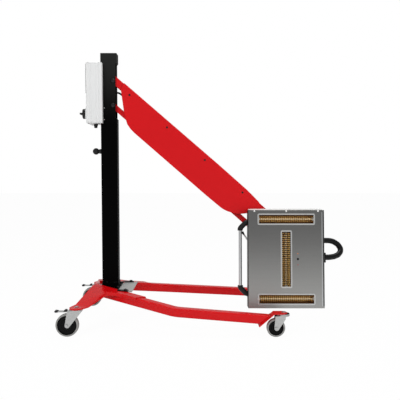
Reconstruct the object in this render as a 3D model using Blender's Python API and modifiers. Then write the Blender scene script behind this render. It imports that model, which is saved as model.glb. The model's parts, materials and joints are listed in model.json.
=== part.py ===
"""Infrared paint curing lamp on a castered stand, in metres, +Z up and +X forward.

The stand is laid out about the axis of its mast. The near side in the usual view is -Y, called right here.
At the end the whole lamp is shifted so that its origin lies under the middle of its box, on the floor.
"""

import math

import bmesh
import bpy
from mathutils import Matrix, Vector

# Clearances shared by all joints between pieces
GAP = 0.0003
RUNNING = 0.0003
OVERRUN = 0.02
WELD = 0.001
MERGE = 1e-6
ROUND = 20
SMALL_ROUND = 12
WHEEL_STEPS = 24
SMOOTH_ANGLE = math.radians(35)

# Casters: the same pattern at two sizes
REAR_WHEEL_RADIUS = 0.0625
REAR_CASTER_HEIGHT = 0.155
REAR_TRAIL = 0.052
REAR_SWIVEL_X = -0.141
REAR_SWIVEL_Y = 0.320
FRONT_WHEEL_RADIUS = 0.050
FRONT_CASTER_HEIGHT = 0.128
FRONT_TRAIL = 0.043
FRONT_SWIVEL_X = 0.984
FRONT_SWIVEL_Y = 0.325
WHEEL_WIDTH = 0.028
TYRE_DEPTH = 0.0095
TYRE_SHOULDER = 0.005
TYRE_SHOULDER_DROP = 0.003
HUB_RADIUS = 0.013
HUB_SIDE = 0.0015
RIM_DEPTH = 0.008
WEB_WIDTH = 0.010
AXLE_RADIUS = 0.005
AXLE_HEAD_RADIUS = 0.009
AXLE_HEAD = 0.005
CROWN_RADIUS = 0.029
CROWN_HEIGHT = 0.012
FORK_SHEET = 0.003
FORK_SIDE_GAP = 0.003
FORK_REAR = 0.048
REAR_FORK_FRONT = 0.029
REAR_FORK_DROP = 0.004
FRONT_FORK_FRONT = 0.008
FRONT_FORK_DROP = 0.015
FORK_EYE_RADIUS = 0.0135
FORK_EYE_AHEAD = 0.003
BRIDGE_REAR = 0.034
BRIDGE_HEIGHT = 0.006
KINGPIN_RADIUS = 0.006
KINGPIN_HEAD_RADIUS = 0.009
KINGPIN_HEAD = 0.004
NUT_RADIUS = 0.010
NUT_HEIGHT = 0.0045

# Brake pedals of the rear casters, measured from the swivel axis and the floor
PEDAL_PIVOT_BACK = 0.040
PEDAL_PIVOT_HEIGHT = 0.1365
PEDAL_BARREL = 0.005
PEDAL_PIN = 0.0025
PEDAL_LENGTH = 0.077
PEDAL_THICKNESS = 0.004
PEDAL_TIP_RISE = 0.002
PEDAL_RIB_BACK = 0.018
PEDAL_RIB_LENGTH = 0.008
PEDAL_RIB_HEIGHT = 0.0075

# Base legs: a square tube on each side, as x, distance from the centre plane, and height of its middle
LEG_SECTION = 0.050
LEG_WALL = 0.003
LEG_CORNER = 0.008
LEG_REAR_X = -0.055
LEG_REAR_Y = 0.088
LEG_REAR_Z = 0.192
LEG_BEND_X = 0.394
LEG_BEND_Y = 0.2855
LEG_BEND_Z = 0.1250
LEG_FRONT_X = 0.960
LEG_FRONT_Y = 0.3224
LEG_FRONT_Z = 0.0890
LEG_REAR = (LEG_REAR_X, LEG_REAR_Y, LEG_REAR_Z)
LEG_BEND = (LEG_BEND_X, LEG_BEND_Y, LEG_BEND_Z)
LEG_FRONT = (LEG_FRONT_X, LEG_FRONT_Y, LEG_FRONT_Z)
LEG_BEND_RADIUS = 0.15
LEG_BEND_STEPS = 5

# Pressed arch over each leg, reaching back and out to its rear caster
ARCH_SHEET = 0.004
ARCH_LIP = 0.020
ARCH_PAD_LIP = 0.008
ARCH_APEX_X = -0.088
ARCH_SLEEVE_INNER_X = 0.220
ARCH_SLEEVE_OUTER_X = 0.166
ARCH_CORNER_X = 0.012
ARCH_CORNER_RADIUS = 0.090
ARCH_PAD_RADIUS = 0.040
ARCH_AIM = (-0.030, 0.090)
ARCH_PAD_REACH = 0.046
ARCH_ARC_STEPS = 6

# Bent plate that closes the front of each leg and carries its caster
PAD_SHEET = 0.005
PAD_WIDTH = 0.060
PAD_FOOT_X = 0.846
PAD_FOOT_Z = 0.062
PAD_SLANT = math.radians(40.5)
PAD_FRONT_X = 1.0015

# Deck between the legs and the foot of the mast
DECK_TOP = 0.203
DECK_SHEET = 0.005
DECK_REAR_X = -0.076
DECK_FRONT_X = 0.135
DECK_BEAM_DEPTH = 0.030
DECK_BEAM_REAR_X = -0.030
DECK_BEAM_FRONT_X = 0.080
FOOT_PLATE = 0.009
FOOT_REAR_X = -0.062
FOOT_FRONT_X = 0.050
FOOT_COLLAR_TOP = 0.236
FOOT_FLARE = 0.002

# Mast, a black rectangular tube with a window in its front wall
MAST_REAR_X = -0.0565
MAST_FRONT_X = 0.040
MAST_DEPTH = MAST_FRONT_X - MAST_REAR_X
MAST_HALF_WIDTH = 0.035
MAST_WALL = 0.004
MAST_CORNER = 0.007
MAST_ABOVE_PIVOT = 0.1605
CAP_THICKNESS = 0.005
CAP_SKIRT = 0.015
WINDOW_ABOVE_PIVOT = 0.107
WINDOW_BELOW_PIVOT = 0.223
WINDOW_DEPTH = 0.0075
WINDOW_CORNER = 0.010
PEG_HEIGHT = 1.017
PEG_REACH = 0.0545
PEG_BALL_RADIUS = 0.0195
PEG_STEM_RADIUS = 0.014
PEG_NECK_RADIUS = 0.0115
PEG_ARC_STEPS = 8

# Parallel arms between the mast and the head carrier
PIVOT_X = 0.017
UPPER_PIVOT_Z = 1.429
MAST_TOP = UPPER_PIVOT_Z + MAST_ABOVE_PIVOT
WINDOW_LOW = UPPER_PIVOT_Z - WINDOW_BELOW_PIVOT
WINDOW_HIGH = UPPER_PIVOT_Z + WINDOW_ABOVE_PIVOT
ARM_SPACING = 0.143
ARM_LENGTH = 1.242
ARM_DROP = math.radians(41.3)
UPPER_ARM_DEPTH = 0.043
UPPER_ARM_RISE = 0.0095
UPPER_ARM_WIDTH = 0.050
LOWER_ARM_DEPTH = 0.031
LOWER_ARM_WIDTH = 0.030
ARM_WALL = 0.003
PIVOT_RADIUS = 0.008
OPEN_PIVOT_CLEARANCE = 0.001
PIVOT_HEAD_RADIUS = 0.0125
PIVOT_HEAD = 0.007
PIVOT_NUT_RADIUS = 0.013
SPACER_RADIUS = 0.008
SPACER_SHARES = (0.1079, 0.3414, 0.5765, 0.8164)

# Balance spring in the mast: the upper arm's tail is pulled down by a gas spring
TAIL_LENGTH = 0.030
TAIL_PIN_RADIUS = 0.004
EYE_SLOT_HALF = 0.0098
EYE_SLOT_HALF_HEIGHT = 0.0062
EYE_HALF = 0.0135
EYE_HALF_HEIGHT = 0.0105
EYE_HALF_WIDTH = 0.009
SPRING_ROD_RADIUS = 0.005
SPRING_ROD_LENGTH = 0.2783
SPRING_TUBE_RADIUS = 0.014
SPRING_TUBE_BELOW = 0.2238
SPRING_TUBE_LENGTH = 0.295
SPRING_BORE_DEPTH = 0.125
SPRING_LUG_RADIUS = 0.006

# Folded sheet cover on the upper arm. Its edge is given along the arm, as shares of the arm's length, and
# above the arm's line, as shares of the spacing of the arms; the first list is its top edge
COVER_SHEET = 0.002
COVER_HALF_WIDTH = 0.035
COVER_FOLD = 0.010
COVER_MOUTH_SHARE = 0.8816
FOLD_STEPS = 2
COVER_TOP_SHARES = (
    (0.0471, 0.243), (0.2011, 0.2545), (0.3900, 0.263), (0.5295, 0.280), (0.6450, 0.296),
    (0.7711, 0.291), (0.8160, 0.290), (0.8649, 0.265), (0.8978, 0.240), (0.9374, 0.180),
)
COVER_BOTTOM_SHARES = (
    (0.9031, -0.321), (0.8923, -0.454), (0.8735, -0.633), (0.8463, -0.799), (0.8201, -0.908),
    (0.8034, -0.955), (0.7832, -0.985), (0.6900, -1.008), (0.2368, -1.028), (0.2070, -1.003),
    (0.1850, -0.950), (0.1660, -0.845), (0.1370, -0.670), (0.0577, -0.072),
)

# Supply cable from the mast to the arm: its route, chosen by hand, with heights from the upper pivot
CABLE_RADIUS = 0.0055
CABLE_ROUTE = (
    (-0.0555, -0.022, -0.0680), (-0.0200, -0.022, -0.0680), (0.0150, -0.022, -0.0678),
    (0.0450, -0.022, -0.0690), (0.0610, -0.022, -0.0760), (0.0770, -0.022, -0.0897),
    (0.0920, -0.022, -0.1028), (0.1100, -0.022, -0.1186), (0.1350, -0.022, -0.1406),
)

# Control box behind the mast
BOX_REAR_X = -0.135
BOX_FRONT_X = -0.041
BOX_BELOW_TOP = 0.0605
BOX_HEIGHT = 0.349
BOX_HIGH = MAST_TOP - BOX_BELOW_TOP
BOX_LOW = BOX_HIGH - BOX_HEIGHT
BOX_HALF_WIDTH = 0.065
BOX_WALL = 0.0025
BOX_CAP = 0.005
GLAND_X = -0.092
GLAND_RADIUS = 0.0115
GLAND_TIP_RADIUS = 0.0085
GLAND_BORE = 0.005
GLAND_LENGTH = 0.024
GLAND_NUT = 0.012
PANEL_BELOW_BOX = 0.006
PANEL_HEIGHT = 0.170
PANEL_HIGH = BOX_HIGH - PANEL_BELOW_BOX
PANEL_LOW = PANEL_HIGH - PANEL_HEIGHT
PANEL_HALF_WIDTH = 0.052
PANEL_SHEET = 0.0042
SCREEN_ABOVE_PANEL = 0.072
SCREEN_HEIGHT = 0.075
SCREEN_LOW = PANEL_LOW + SCREEN_ABOVE_PANEL
SCREEN_HIGH = SCREEN_LOW + SCREEN_HEIGHT
SCREEN_HALF_WIDTH = 0.036
SCREEN_RECESS = 0.0012
KEY_RADIUS = 0.009
KEY_ABOVE_PANEL = 0.032
KEY_HEIGHT = PANEL_LOW + KEY_ABOVE_PANEL
KEY_SPACING = 0.044
KEY_PROUD = 0.003
KEY_BACK_GAP = 0.0021
SWITCH_ABOVE_BOX = 0.059
SWITCH_HEIGHT = BOX_LOW + SWITCH_ABOVE_BOX
SWITCH_BASE_HALF = 0.031
SWITCH_BASE_DEPTH = 0.0125
SWITCH_BASE_SLOPE = 0.009
KNOB_RADIUS = 0.0295
KNOB_THICKNESS = 0.0185
GRIP_DEPTH = 0.016
GRIP_HALF_WIDTH = 0.005
GRIP_HALF_LENGTH = 0.023
BOARD_THICKNESS = 0.0016
BOARD_STANDOFF = 0.012
BOARD_ABOVE_BOX = 0.070
BOARD_HEIGHT = 0.230
BOARD_LOW = BOX_LOW + BOARD_ABOVE_BOX
BOARD_HIGH = BOARD_LOW + BOARD_HEIGHT
BOARD_HALF_WIDTH = 0.050
STANDOFF_RADIUS = 0.003
STANDOFF_INSET = 0.010
COIL_BLOCK = (0.030, 0.060, 0.050)

# Head carrier, swivel yoke and tilt lock, placed from the outer pivot of the upper arm
OUTER_X = PIVOT_X + ARM_LENGTH * math.cos(ARM_DROP)
OUTER_Z = UPPER_PIVOT_Z - ARM_LENGTH * math.sin(ARM_DROP)
CARRIER_SHEET = 0.004
CARRIER_BEHIND = 0.025
CARRIER_AHEAD = 0.042
CARRIER_REAR_X = OUTER_X - CARRIER_BEHIND
CARRIER_FRONT_X = OUTER_X + CARRIER_AHEAD
CARRIER_MARGIN = 0.027
CARRIER_CORNER = 0.010
CARRIER_SIDE_GAP = 0.0015
CARRIER_WEB = 0.014
SWIVEL_AHEAD = 0.07493
SWIVEL_X = OUTER_X + SWIVEL_AHEAD
SLEEVE_RADIUS = 0.026
SLEEVE_BELOW = 0.00928
SLEEVE_LENGTH = 0.130
SLEEVE_HIGH = OUTER_Z - SLEEVE_BELOW
SLEEVE_LOW = SLEEVE_HIGH - SLEEVE_LENGTH
POST_RADIUS = 0.015
POST_COLLAR_RADIUS = 0.024
POST_CAP_RADIUS = 0.022
POST_CAP = 0.006
TILT_Y = -0.047
TILT_BELOW_SLEEVE = 0.0845
TILT_Z = SLEEVE_LOW - TILT_BELOW_SLEEVE
BARREL_RADIUS = 0.016
BARREL_HALF = 0.030
NECK_HALF = 0.015
TILT_PIN_RADIUS = 0.006
TILT_PIN_LEFT = 0.1433
LEVER_HUB_RADIUS = 0.011
LEVER_HUB = 0.014
LEVER_RADIUS = 0.004
LEVER_REACH_X = 0.0997
LEVER_REACH_Z = 0.1495
LEVER_BALL_RADIUS = 0.0078
TILT_NUT = 0.008

# Lamp head, laid out about its tilt axis: x across, y with the front at -y, z up
HEAD_TILT = math.radians(-5)
HEAD_WIDTH = 0.436
HEAD_HEIGHT = 0.563
HEAD_DEPTH = 0.085
HEAD_BACK = -0.0224
HEAD_SHEET = 0.002
HEAD_FOLD = 0.003
LAMP_ROW_INSET = 0.0525
LAMP_ROW = HEAD_HEIGHT / 2 - LAMP_ROW_INSET
WINDOW_LENGTH = 0.318
WINDOW_WIDTH = 0.048
GUARD_END_RIM = 0.0065
GUARD_SIDE_RIM = 0.009
GUARD_BORDER_LENGTH = WINDOW_LENGTH + 2 * GUARD_END_RIM
GUARD_BORDER_WIDTH = WINDOW_WIDTH + 2 * GUARD_SIDE_RIM
GUARD_SHEET = 0.0015
GUARD_WIRE = 0.0016
GUARD_PITCH = 0.0115
REFLECTOR_MARGIN = 0.002
REFLECTOR_DEPTH = 0.034
REFLECTOR_SHEET = 0.001
TUBE_RADIUS = 0.0055
TUBE_INSET = 0.015
CERAMIC_HALF = 0.008
CERAMIC_LENGTH = 0.014
EAR_SHEET = 0.006
EAR_RADIUS = 0.016
EAR_BASE_HALF = 0.045
EAR_BASE = 0.003
VENT_LENGTH = 0.070
VENT_WIDTH = 0.005
VENT_PITCH = 0.012
VENT_COUNT = 7
VENT_ROW_Z = 0.130
FAN_INSET = 0.108
FAN_X = FAN_INSET - HEAD_WIDTH / 2
FAN_RADIUS = 0.043
FAN_HUB_RADIUS = 0.017
FAN_BOSS_RADIUS = 0.014
FAN_BOSS = 0.010
FAN_DEPTH = 0.014
FAN_BLADES = 7
FAN_BLADE_SHEET = 0.0018
FAN_BLADE_PITCH = math.radians(38)
TERMINAL_INSET = 0.028
TERMINAL_LENGTH = 0.080
TERMINAL_HIGH_X = HEAD_WIDTH / 2 - TERMINAL_INSET
TERMINAL_LOW_X = TERMINAL_HIGH_X - TERMINAL_LENGTH
TERMINAL_HALF_HEIGHT = 0.024
TERMINAL_BACK = 0.0125

# Handle on the left edge of the head
HANDLE_OUT = 0.0435
HANDLE_X = -HEAD_WIDTH / 2 - HANDLE_OUT
HANDLE_Y = -0.065
HANDLE_RADIUS = 0.0095
HANDLE_LOW = -0.155
HANDLE_HIGH = 0.1625
HANDLE_SOCKET = 0.014
ELBOW_RADIUS = 0.0155
ELBOW_START = 0.014
ELBOW_RISE = 0.048
ELBOW_IN = 0.033
ELBOW_BEND = 0.021
ELBOW_STEPS = 3

# Lead of the head: a stiff loop from the terminal box behind to the flange on the right edge
HOSE_RADIUS = 0.0163
HOSE_TOP_Z = 0.103
HOSE_LOW_Z = 0.0065
HOSE_TOP_Y = -0.0042
HOSE_LOW_Y = -0.065
HOSE_REACH = 0.114
HOSE_BEND = 0.030
HOSE_STEPS = 2
# The loop's line: its reach beyond the head's edge, its way forward and its way down, each as a share
HOSE_SHARES = (
    (-0.03, 0.00, 0.00), (0.49, 0.04, 0.02), (0.68, 0.11, 0.08), (0.88, 0.24, 0.24), (1.00, 0.42, 0.48),
    (0.965, 0.62, 0.68), (0.815, 0.80, 0.86), (0.59, 0.92, 0.955), (0.33, 0.98, 0.995),
)
FLANGE_HALF = 0.0285
FLANGE_DEPTH = 0.015

# Looks: colour, roughness, metallic
RED_PAINT = ((0.62, 0.015, 0.018), 0.35, 0.0)
BLACK_PAINT = ((0.012, 0.012, 0.013), 0.35, 0.0)
ZINC = ((0.62, 0.62, 0.60), 0.28, 1.0)
LIGHT_GREY = ((0.62, 0.62, 0.61), 0.5, 0.0)
WHITE_ALLOY = ((0.80, 0.80, 0.80), 0.4, 0.0)
BLACK_PLASTIC = ((0.02, 0.02, 0.02), 0.45, 0.0)
GREY_RUBBER = ((0.30, 0.30, 0.29), 0.8, 0.0)
STEEL = ((0.55, 0.55, 0.55), 0.3, 1.0)
BRUSHED_STEEL = ((0.42, 0.42, 0.42), 0.38, 1.0)
GOLD = ((0.85, 0.58, 0.22), 0.2, 1.0)
QUARTZ = ((0.80, 0.78, 0.72), 0.1, 0.0)
GREEN_BOARD = ((0.02, 0.16, 0.06), 0.5, 0.0)
GREEN_KEY = ((0.03, 0.35, 0.10), 0.4, 0.0)
RED_KEY = ((0.60, 0.03, 0.03), 0.4, 0.0)

for old in list(bpy.data.objects):
    bpy.data.objects.remove(old, do_unlink=True)

PARTS = bpy.data.collections.new("curing_lamp")
CUTTERS = bpy.data.collections.new("curing_lamp_tools")
bpy.context.scene.collection.children.link(PARTS)
bpy.context.scene.collection.children.link(CUTTERS)


class Body:
    """An empty on a joint's axis, and the point of the layout that it stands at."""

    def __init__(self, name, anchor, parent=None, own_frame=False, turn=0.0):
        self.empty = bpy.data.objects.new(name, None)
        PARTS.objects.link(self.empty)
        self.anchor = Vector((0, 0, 0)) if own_frame else Vector(anchor)
        if parent:
            self.empty.parent = parent.empty
            self.empty.location = Vector(anchor) - parent.anchor
        self.empty.rotation_euler.x = turn


def mesh_of(obj):
    """The evaluated mesh of a helper object, welded and facing out; the helper is removed."""
    bpy.context.view_layer.update()
    graph = bpy.context.evaluated_depsgraph_get()
    mesh = bpy.data.meshes.new_from_object(obj.evaluated_get(graph))
    shape = bmesh.new()
    shape.from_mesh(mesh)
    bmesh.ops.remove_doubles(shape, verts=shape.verts, dist=MERGE)
    bmesh.ops.recalc_face_normals(shape, faces=shape.faces)
    bpy.data.objects.remove(obj, do_unlink=True)
    bpy.data.meshes.remove(mesh)
    return shape


def helper(data):
    obj = bpy.data.objects.new("helper", data)
    CUTTERS.objects.link(obj)
    return obj


def moved(shape, matrix):
    shape.transform(matrix)
    if matrix.determinant() < 0:
        bmesh.ops.reverse_faces(shape, faces=shape.faces)
    return shape


def box(low, high, corner=0.0, along=None):
    """A block between two corners; corner rounds the edges along one axis, or all of them."""
    shape = bmesh.new()
    bmesh.ops.create_cube(shape, size=1)
    low, high = Vector(low), Vector(high)
    bmesh.ops.scale(shape, vec=high - low, verts=shape.verts)
    bmesh.ops.translate(shape, vec=(low + high) / 2, verts=shape.verts)
    if corner:
        edges = [e for e in shape.edges if along is None or is_along(e, along)]
        bmesh.ops.bevel(shape, geom=edges, offset=corner, segments=3, profile=0.5, affect="EDGES")
    return shape


def is_along(edge, axis):
    span = edge.verts[1].co - edge.verts[0].co
    return abs(span[axis]) > 0.99 * span.length


def bar(radius, start, end, sides=SMALL_ROUND):
    """A cylinder between two points."""
    start, end = Vector(start), Vector(end)
    axis = end - start
    shape = bmesh.new()
    bmesh.ops.create_cone(
        shape, cap_ends=True, segments=sides, radius1=radius, radius2=radius, depth=axis.length
    )
    turn = axis.to_track_quat("Z", "Y").to_matrix().to_4x4()
    return moved(shape, Matrix.Translation((start + end) / 2) @ turn)


def plate(outlines, thickness):
    """A flat outline with any holes, as a filled 2D curve with thickness about z = 0."""
    curve = bpy.data.curves.new("outline", "CURVE")
    curve.dimensions = "2D"
    curve.fill_mode = "BOTH"
    curve.extrude = thickness / 2
    for outline in outlines:
        spline = curve.splines.new("POLY")
        spline.points.add(len(outline) - 1)
        for point, place in zip(spline.points, outline):
            point.co = (place[0], place[1], 0, 1)
        spline.use_cyclic_u = True
    return mesh_of(helper(curve))


def side_plate(outline, low_y, high_y):
    """An outline in x and z, thick from low_y to high_y."""
    shape = plate([outline], high_y - low_y)
    upright = Matrix.Translation((0, (low_y + high_y) / 2, 0)) @ Matrix.Rotation(math.pi / 2, 4, "X")
    return moved(shape, upright)


def floor_plate(outline, low_z, high_z, holes=()):
    """An outline in x and y, thick from low_z to high_z."""
    shape = plate([outline, *holes], high_z - low_z)
    return moved(shape, Matrix.Translation((0, 0, (low_z + high_z) / 2)))


def tube(points, radius, resolution=3):
    """A round rod along a line of points."""
    curve = bpy.data.curves.new("route", "CURVE")
    curve.dimensions = "3D"
    curve.bevel_depth = radius
    curve.bevel_resolution = resolution
    curve.use_fill_caps = True
    spline = curve.splines.new("POLY")
    spline.points.add(len(points) - 1)
    for point, place in zip(spline.points, points):
        point.co = (*place, 1)
    return mesh_of(helper(curve))


def swept(points, outline):
    """An outline carried along a line of points, kept upright."""
    section = bpy.data.curves.new("section", "CURVE")
    section.dimensions = "2D"
    loop = section.splines.new("POLY")
    loop.points.add(len(outline) - 1)
    for point, place in zip(loop.points, outline):
        point.co = (place[0], place[1], 0, 1)
    loop.use_cyclic_u = True
    guide = helper(section)
    curve = bpy.data.curves.new("route", "CURVE")
    curve.dimensions = "3D"
    curve.twist_mode = "Z_UP"
    curve.bevel_mode = "OBJECT"
    curve.bevel_object = guide
    curve.use_fill_caps = True
    spline = curve.splines.new("POLY")
    spline.points.add(len(points) - 1)
    for point, place in zip(spline.points, points):
        point.co = (*place, 1)
    shape = mesh_of(helper(curve))
    bpy.data.objects.remove(guide, do_unlink=True)
    return shape


def turned(profile, centre, axis, steps=ROUND, ring=False):
    """A profile of (radius, height) points turned about an axis; a ring's profile is a closed loop."""
    mesh = bpy.data.meshes.new("profile")
    count = len(profile)
    links = [(i, (i + 1) % count) for i in range(count if ring else count - 1)]
    mesh.from_pydata([(r, 0, h) for r, h in profile], links, [])
    obj = helper(mesh)
    screw = obj.modifiers.new("turn", "SCREW")
    screw.steps = steps
    screw.render_steps = steps
    screw.use_merge_vertices = True
    screw.merge_threshold = MERGE
    shape = mesh_of(obj)
    turn = Vector(axis).to_track_quat("Z", "Y").to_matrix().to_4x4()
    return moved(shape, Matrix.Translation(centre) @ turn)


def rounded_outline(low, high, corner, steps=3):
    """A rectangle with round corners."""
    points = []
    for cx, cy, start in (
        (high[0] - corner, high[1] - corner, 0), (low[0] + corner, high[1] - corner, 1),
        (low[0] + corner, low[1] + corner, 2), (high[0] - corner, low[1] + corner, 3),
    ):
        for step in range(steps + 1):
            angle = (start + step / steps) * math.pi / 2
            points.append((cx + corner * math.cos(angle), cy + corner * math.sin(angle)))
    return points


def slot_outline(start, end, radius, steps=8):
    """Two half circles joined by straight sides."""
    start, end = Vector(start), Vector(end)
    angle = math.atan2(*(end - start).yx) - math.pi / 2
    points = []
    for centre, first in ((end, angle), (start, angle + math.pi)):
        for step in range(steps + 1):
            turn = first + math.pi * step / steps
            points.append((centre.x + radius * math.cos(turn), centre.y + radius * math.sin(turn)))
    return points


def eased(points, radius, steps):
    """A line of points with each inner corner rounded."""
    points = [Vector(p) for p in points]
    line = [points[0]]
    for before, corner, after in zip(points, points[1:], points[2:]):
        back = (before - corner).normalized()
        ahead = (after - corner).normalized()
        half = back.angle(ahead) / 2
        reach = radius / math.tan(half)
        middle = corner + (back + ahead).normalized() * radius / math.sin(half)
        first = (corner + back * reach - middle).normalized()
        last = (corner + ahead * reach - middle).normalized()
        for step in range(steps + 1):
            share = step / steps
            line.append(middle + first.slerp(last, share) * radius)
    line.append(points[-1])
    return line


def piece(name, body, look, solids, cuts=()):
    """One object: the first solid, joined with the rest, less the cuts. Its origin is at its own middle."""
    corners = [v.co for v in solids[0].verts]
    middle = Vector([(min(c[i] for c in corners) + max(c[i] for c in corners)) / 2 for i in range(3)])
    obj = placed(name, solids[0], body, middle, PARTS)
    for group, operation in ((solids[1:], "UNION"), (cuts, "DIFFERENCE")):
        for number, shape in enumerate(group):
            tool = placed(f"{name}_{operation.lower()}_{number}", shape, body, middle, CUTTERS)
            tool.hide_render = True
            tool.display_type = "WIRE"
            step = obj.modifiers.new(f"{operation.lower()}_{number}", "BOOLEAN")
            step.operation = operation
            step.solver = "EXACT"
            step.object = tool
    colour, roughness, metallic = look
    material = bpy.data.materials.new(name)
    material.use_nodes = True
    shader = material.node_tree.nodes["Principled BSDF"]
    shader.inputs["Base Color"].default_value = (*colour, 1)
    shader.inputs["Roughness"].default_value = roughness
    shader.inputs["Metallic"].default_value = metallic
    obj.data.materials.append(material)
    obj.data.shade_smooth()
    obj.data.set_sharp_from_angle(angle=SMOOTH_ANGLE)
    return obj


def placed(name, shape, body, middle, collection):
    bmesh.ops.translate(shape, vec=-middle, verts=shape.verts)
    mesh = bpy.data.meshes.new(name)
    shape.to_mesh(mesh)
    shape.free()
    obj = bpy.data.objects.new(name, mesh)
    obj.parent = body.empty
    obj.location = middle - body.anchor
    collection.objects.link(obj)
    return obj


def merged(shapes):
    """Several separate solids in one mesh, for use as one tool."""
    whole = bmesh.new()
    for shape in shapes:
        mesh = bpy.data.meshes.new("part")
        shape.to_mesh(mesh)
        shape.free()
        whole.from_mesh(mesh)
        bpy.data.meshes.remove(mesh)
    return whole


def wheel(name, body, centre, radius):
    """Black core and grey tyre, turned about the axle."""
    half = WHEEL_WIDTH / 2
    core = radius - TYRE_DEPTH
    bore = AXLE_RADIUS + RUNNING
    hub = half + HUB_SIDE
    side = [
        (bore, -hub), (HUB_RADIUS, -hub), (HUB_RADIUS, -WEB_WIDTH / 2),
        (core - RIM_DEPTH, -WEB_WIDTH / 2), (core - RIM_DEPTH, -half), (core, -half),
    ]
    profile = side + [(r, -h) for r, h in reversed(side)]
    piece(f"{name}_wheel", body, BLACK_PLASTIC, [turned(profile, centre, (0, 1, 0), WHEEL_STEPS, ring=True)])
    inner = core + GAP
    side = [(inner, -half), (radius - TYRE_SHOULDER_DROP, -half), (radius, TYRE_SHOULDER - half)]
    profile = side + [(r, -h) for r, h in reversed(side)]
    piece(f"{name}_tyre", body, GREY_RUBBER, [turned(profile, centre, (0, 1, 0), WHEEL_STEPS, ring=True)])


def caster(name, chassis, swivel, radius, height, trail, fork_front, fork_drop, braked):
    """Fork on a swivel, wheel on an axle and, at the rear, a brake pedal."""
    x, y = swivel
    fork_body = Body(f"{name}_swivel", (x, y, height), chassis)
    axle = Vector((x - trail, y, radius))
    crown_low = height - GAP - CROWN_HEIGHT
    inner = WHEEL_WIDTH / 2 + FORK_SIDE_GAP
    outer = inner + FORK_SHEET
    eye = [
        (axle.x + FORK_EYE_AHEAD + FORK_EYE_RADIUS * math.cos(a), axle.z + FORK_EYE_RADIUS * math.sin(a))
        for a in (math.radians(170 + 30 * step) for step in range(6))
    ]
    front = x + fork_front
    cheek = [(front, crown_low), (x - FORK_REAR, crown_low), *eye, (front, crown_low - fork_drop)]
    solids = [
        box(
            (x - BRIDGE_REAR, y - outer, crown_low + WELD - BRIDGE_HEIGHT),
            (front, y + outer, crown_low + WELD)
        ),
        bar(CROWN_RADIUS, (x, y, crown_low), (x, y, height - GAP), ROUND),
        side_plate(cheek, y - outer, y - inner),
        side_plate(cheek, y + inner, y + outer),
        bar(
            AXLE_RADIUS, axle - Vector((0, outer + WELD, 0)), axle + Vector((0, outer + WELD, 0)),
            WHEEL_STEPS
        ),
        bar(
            AXLE_HEAD_RADIUS, axle - Vector((0, outer + AXLE_HEAD, 0)), axle - Vector((0, outer - WELD, 0)),
            6
        ),
        bar(
            AXLE_HEAD_RADIUS, axle + Vector((0, outer - WELD, 0)), axle + Vector((0, outer + AXLE_HEAD, 0)),
            6
        ),
    ]
    bore = bar(KINGPIN_RADIUS + RUNNING, (x, y, crown_low - OVERRUN), (x, y, height + OVERRUN), SMALL_ROUND)
    pivot = Vector((x - PEDAL_PIVOT_BACK, y, PEDAL_PIVOT_HEIGHT))
    if braked:
        across = Vector((0, inner + WELD, 0))
        solids.append(bar(PEDAL_PIN, pivot - across, pivot + across))
    piece(f"{name}_fork", fork_body, ZINC, solids, [bore])
    wheel_body = Body(f"{name}_axle", axle, fork_body)
    wheel(name, wheel_body, axle, radius)
    if braked:
        pedal_body = Body(f"{name}_pedal_pivot", pivot, fork_body)
        top = pivot.z + PEDAL_THICKNESS / 2
        under = pivot.z - PEDAL_THICKNESS / 2
        end = pivot.x - PEDAL_LENGTH
        rib = pivot.x - PEDAL_RIB_BACK
        outline = [
            (pivot.x, under), (pivot.x, top), (rib + PEDAL_RIB_LENGTH / 2, top), (
                rib + PEDAL_RIB_LENGTH / 4, top + PEDAL_RIB_HEIGHT
            ),
            (
                rib - PEDAL_RIB_LENGTH / 2, top + PEDAL_RIB_HEIGHT
            ), (rib - PEDAL_RIB_LENGTH, top), (end + PEDAL_RIB_BACK, top),
            (end, top + PEDAL_TIP_RISE), (end, under + PEDAL_TIP_RISE), (end + PEDAL_RIB_BACK, under),
        ]
        half = WHEEL_WIDTH / 2
        barrel = bar(PEDAL_BARREL, pivot - Vector((0, half, 0)), pivot + Vector((0, half, 0)))
        hole = bar(PEDAL_PIN + RUNNING, pivot - Vector((0, inner, 0)), pivot + Vector((0, inner, 0)))
        piece(
            f"{name}_brake_pedal", pedal_body, BLACK_PLASTIC,
            [side_plate(outline, y - half, y + half), barrel], [hole]
        )


def kingpin(x, y, pad_top, pad_under, height):
    """Nut above the pad, and the pin and its head below, on which the fork turns."""
    crown_low = height - GAP - CROWN_HEIGHT
    head_top = crown_low + WELD - BRIDGE_HEIGHT - RUNNING
    return [
        bar(NUT_RADIUS, (x, y, pad_top - WELD), (x, y, pad_top + NUT_HEIGHT), 6),
        bar(KINGPIN_RADIUS, (x, y, head_top - WELD), (x, y, pad_under + WELD), SMALL_ROUND),
        bar(KINGPIN_HEAD_RADIUS, (x, y, head_top - KINGPIN_HEAD), (x, y, head_top), SMALL_ROUND),
    ]


class LegLine:
    """The straight rear stretch of a leg, in x and distance w from the centre plane."""

    start = Vector(LEG_REAR)
    run = Vector(LEG_BEND) - Vector(LEG_REAR)
    flat = Vector((run.x, run.y)).normalized()
    length = Vector((run.x, run.y)).length
    fall = run.z / length
    steepness = math.cos(math.atan(fall))

    @classmethod
    def side_point(cls, x, offset):
        """The point at x on the line beside the leg; a positive offset is outward."""
        base = Vector((cls.start.x, cls.start.y)) + offset * Vector((-cls.flat.y, cls.flat.x))
        return base + cls.flat * ((x - base.x) / cls.flat.x)

    @classmethod
    def middle_height(cls, place):
        along = (Vector((place[0], place[1])) - Vector((cls.start.x, cls.start.y))).dot(cls.flat)
        return cls.start.z + cls.fall * along


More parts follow.
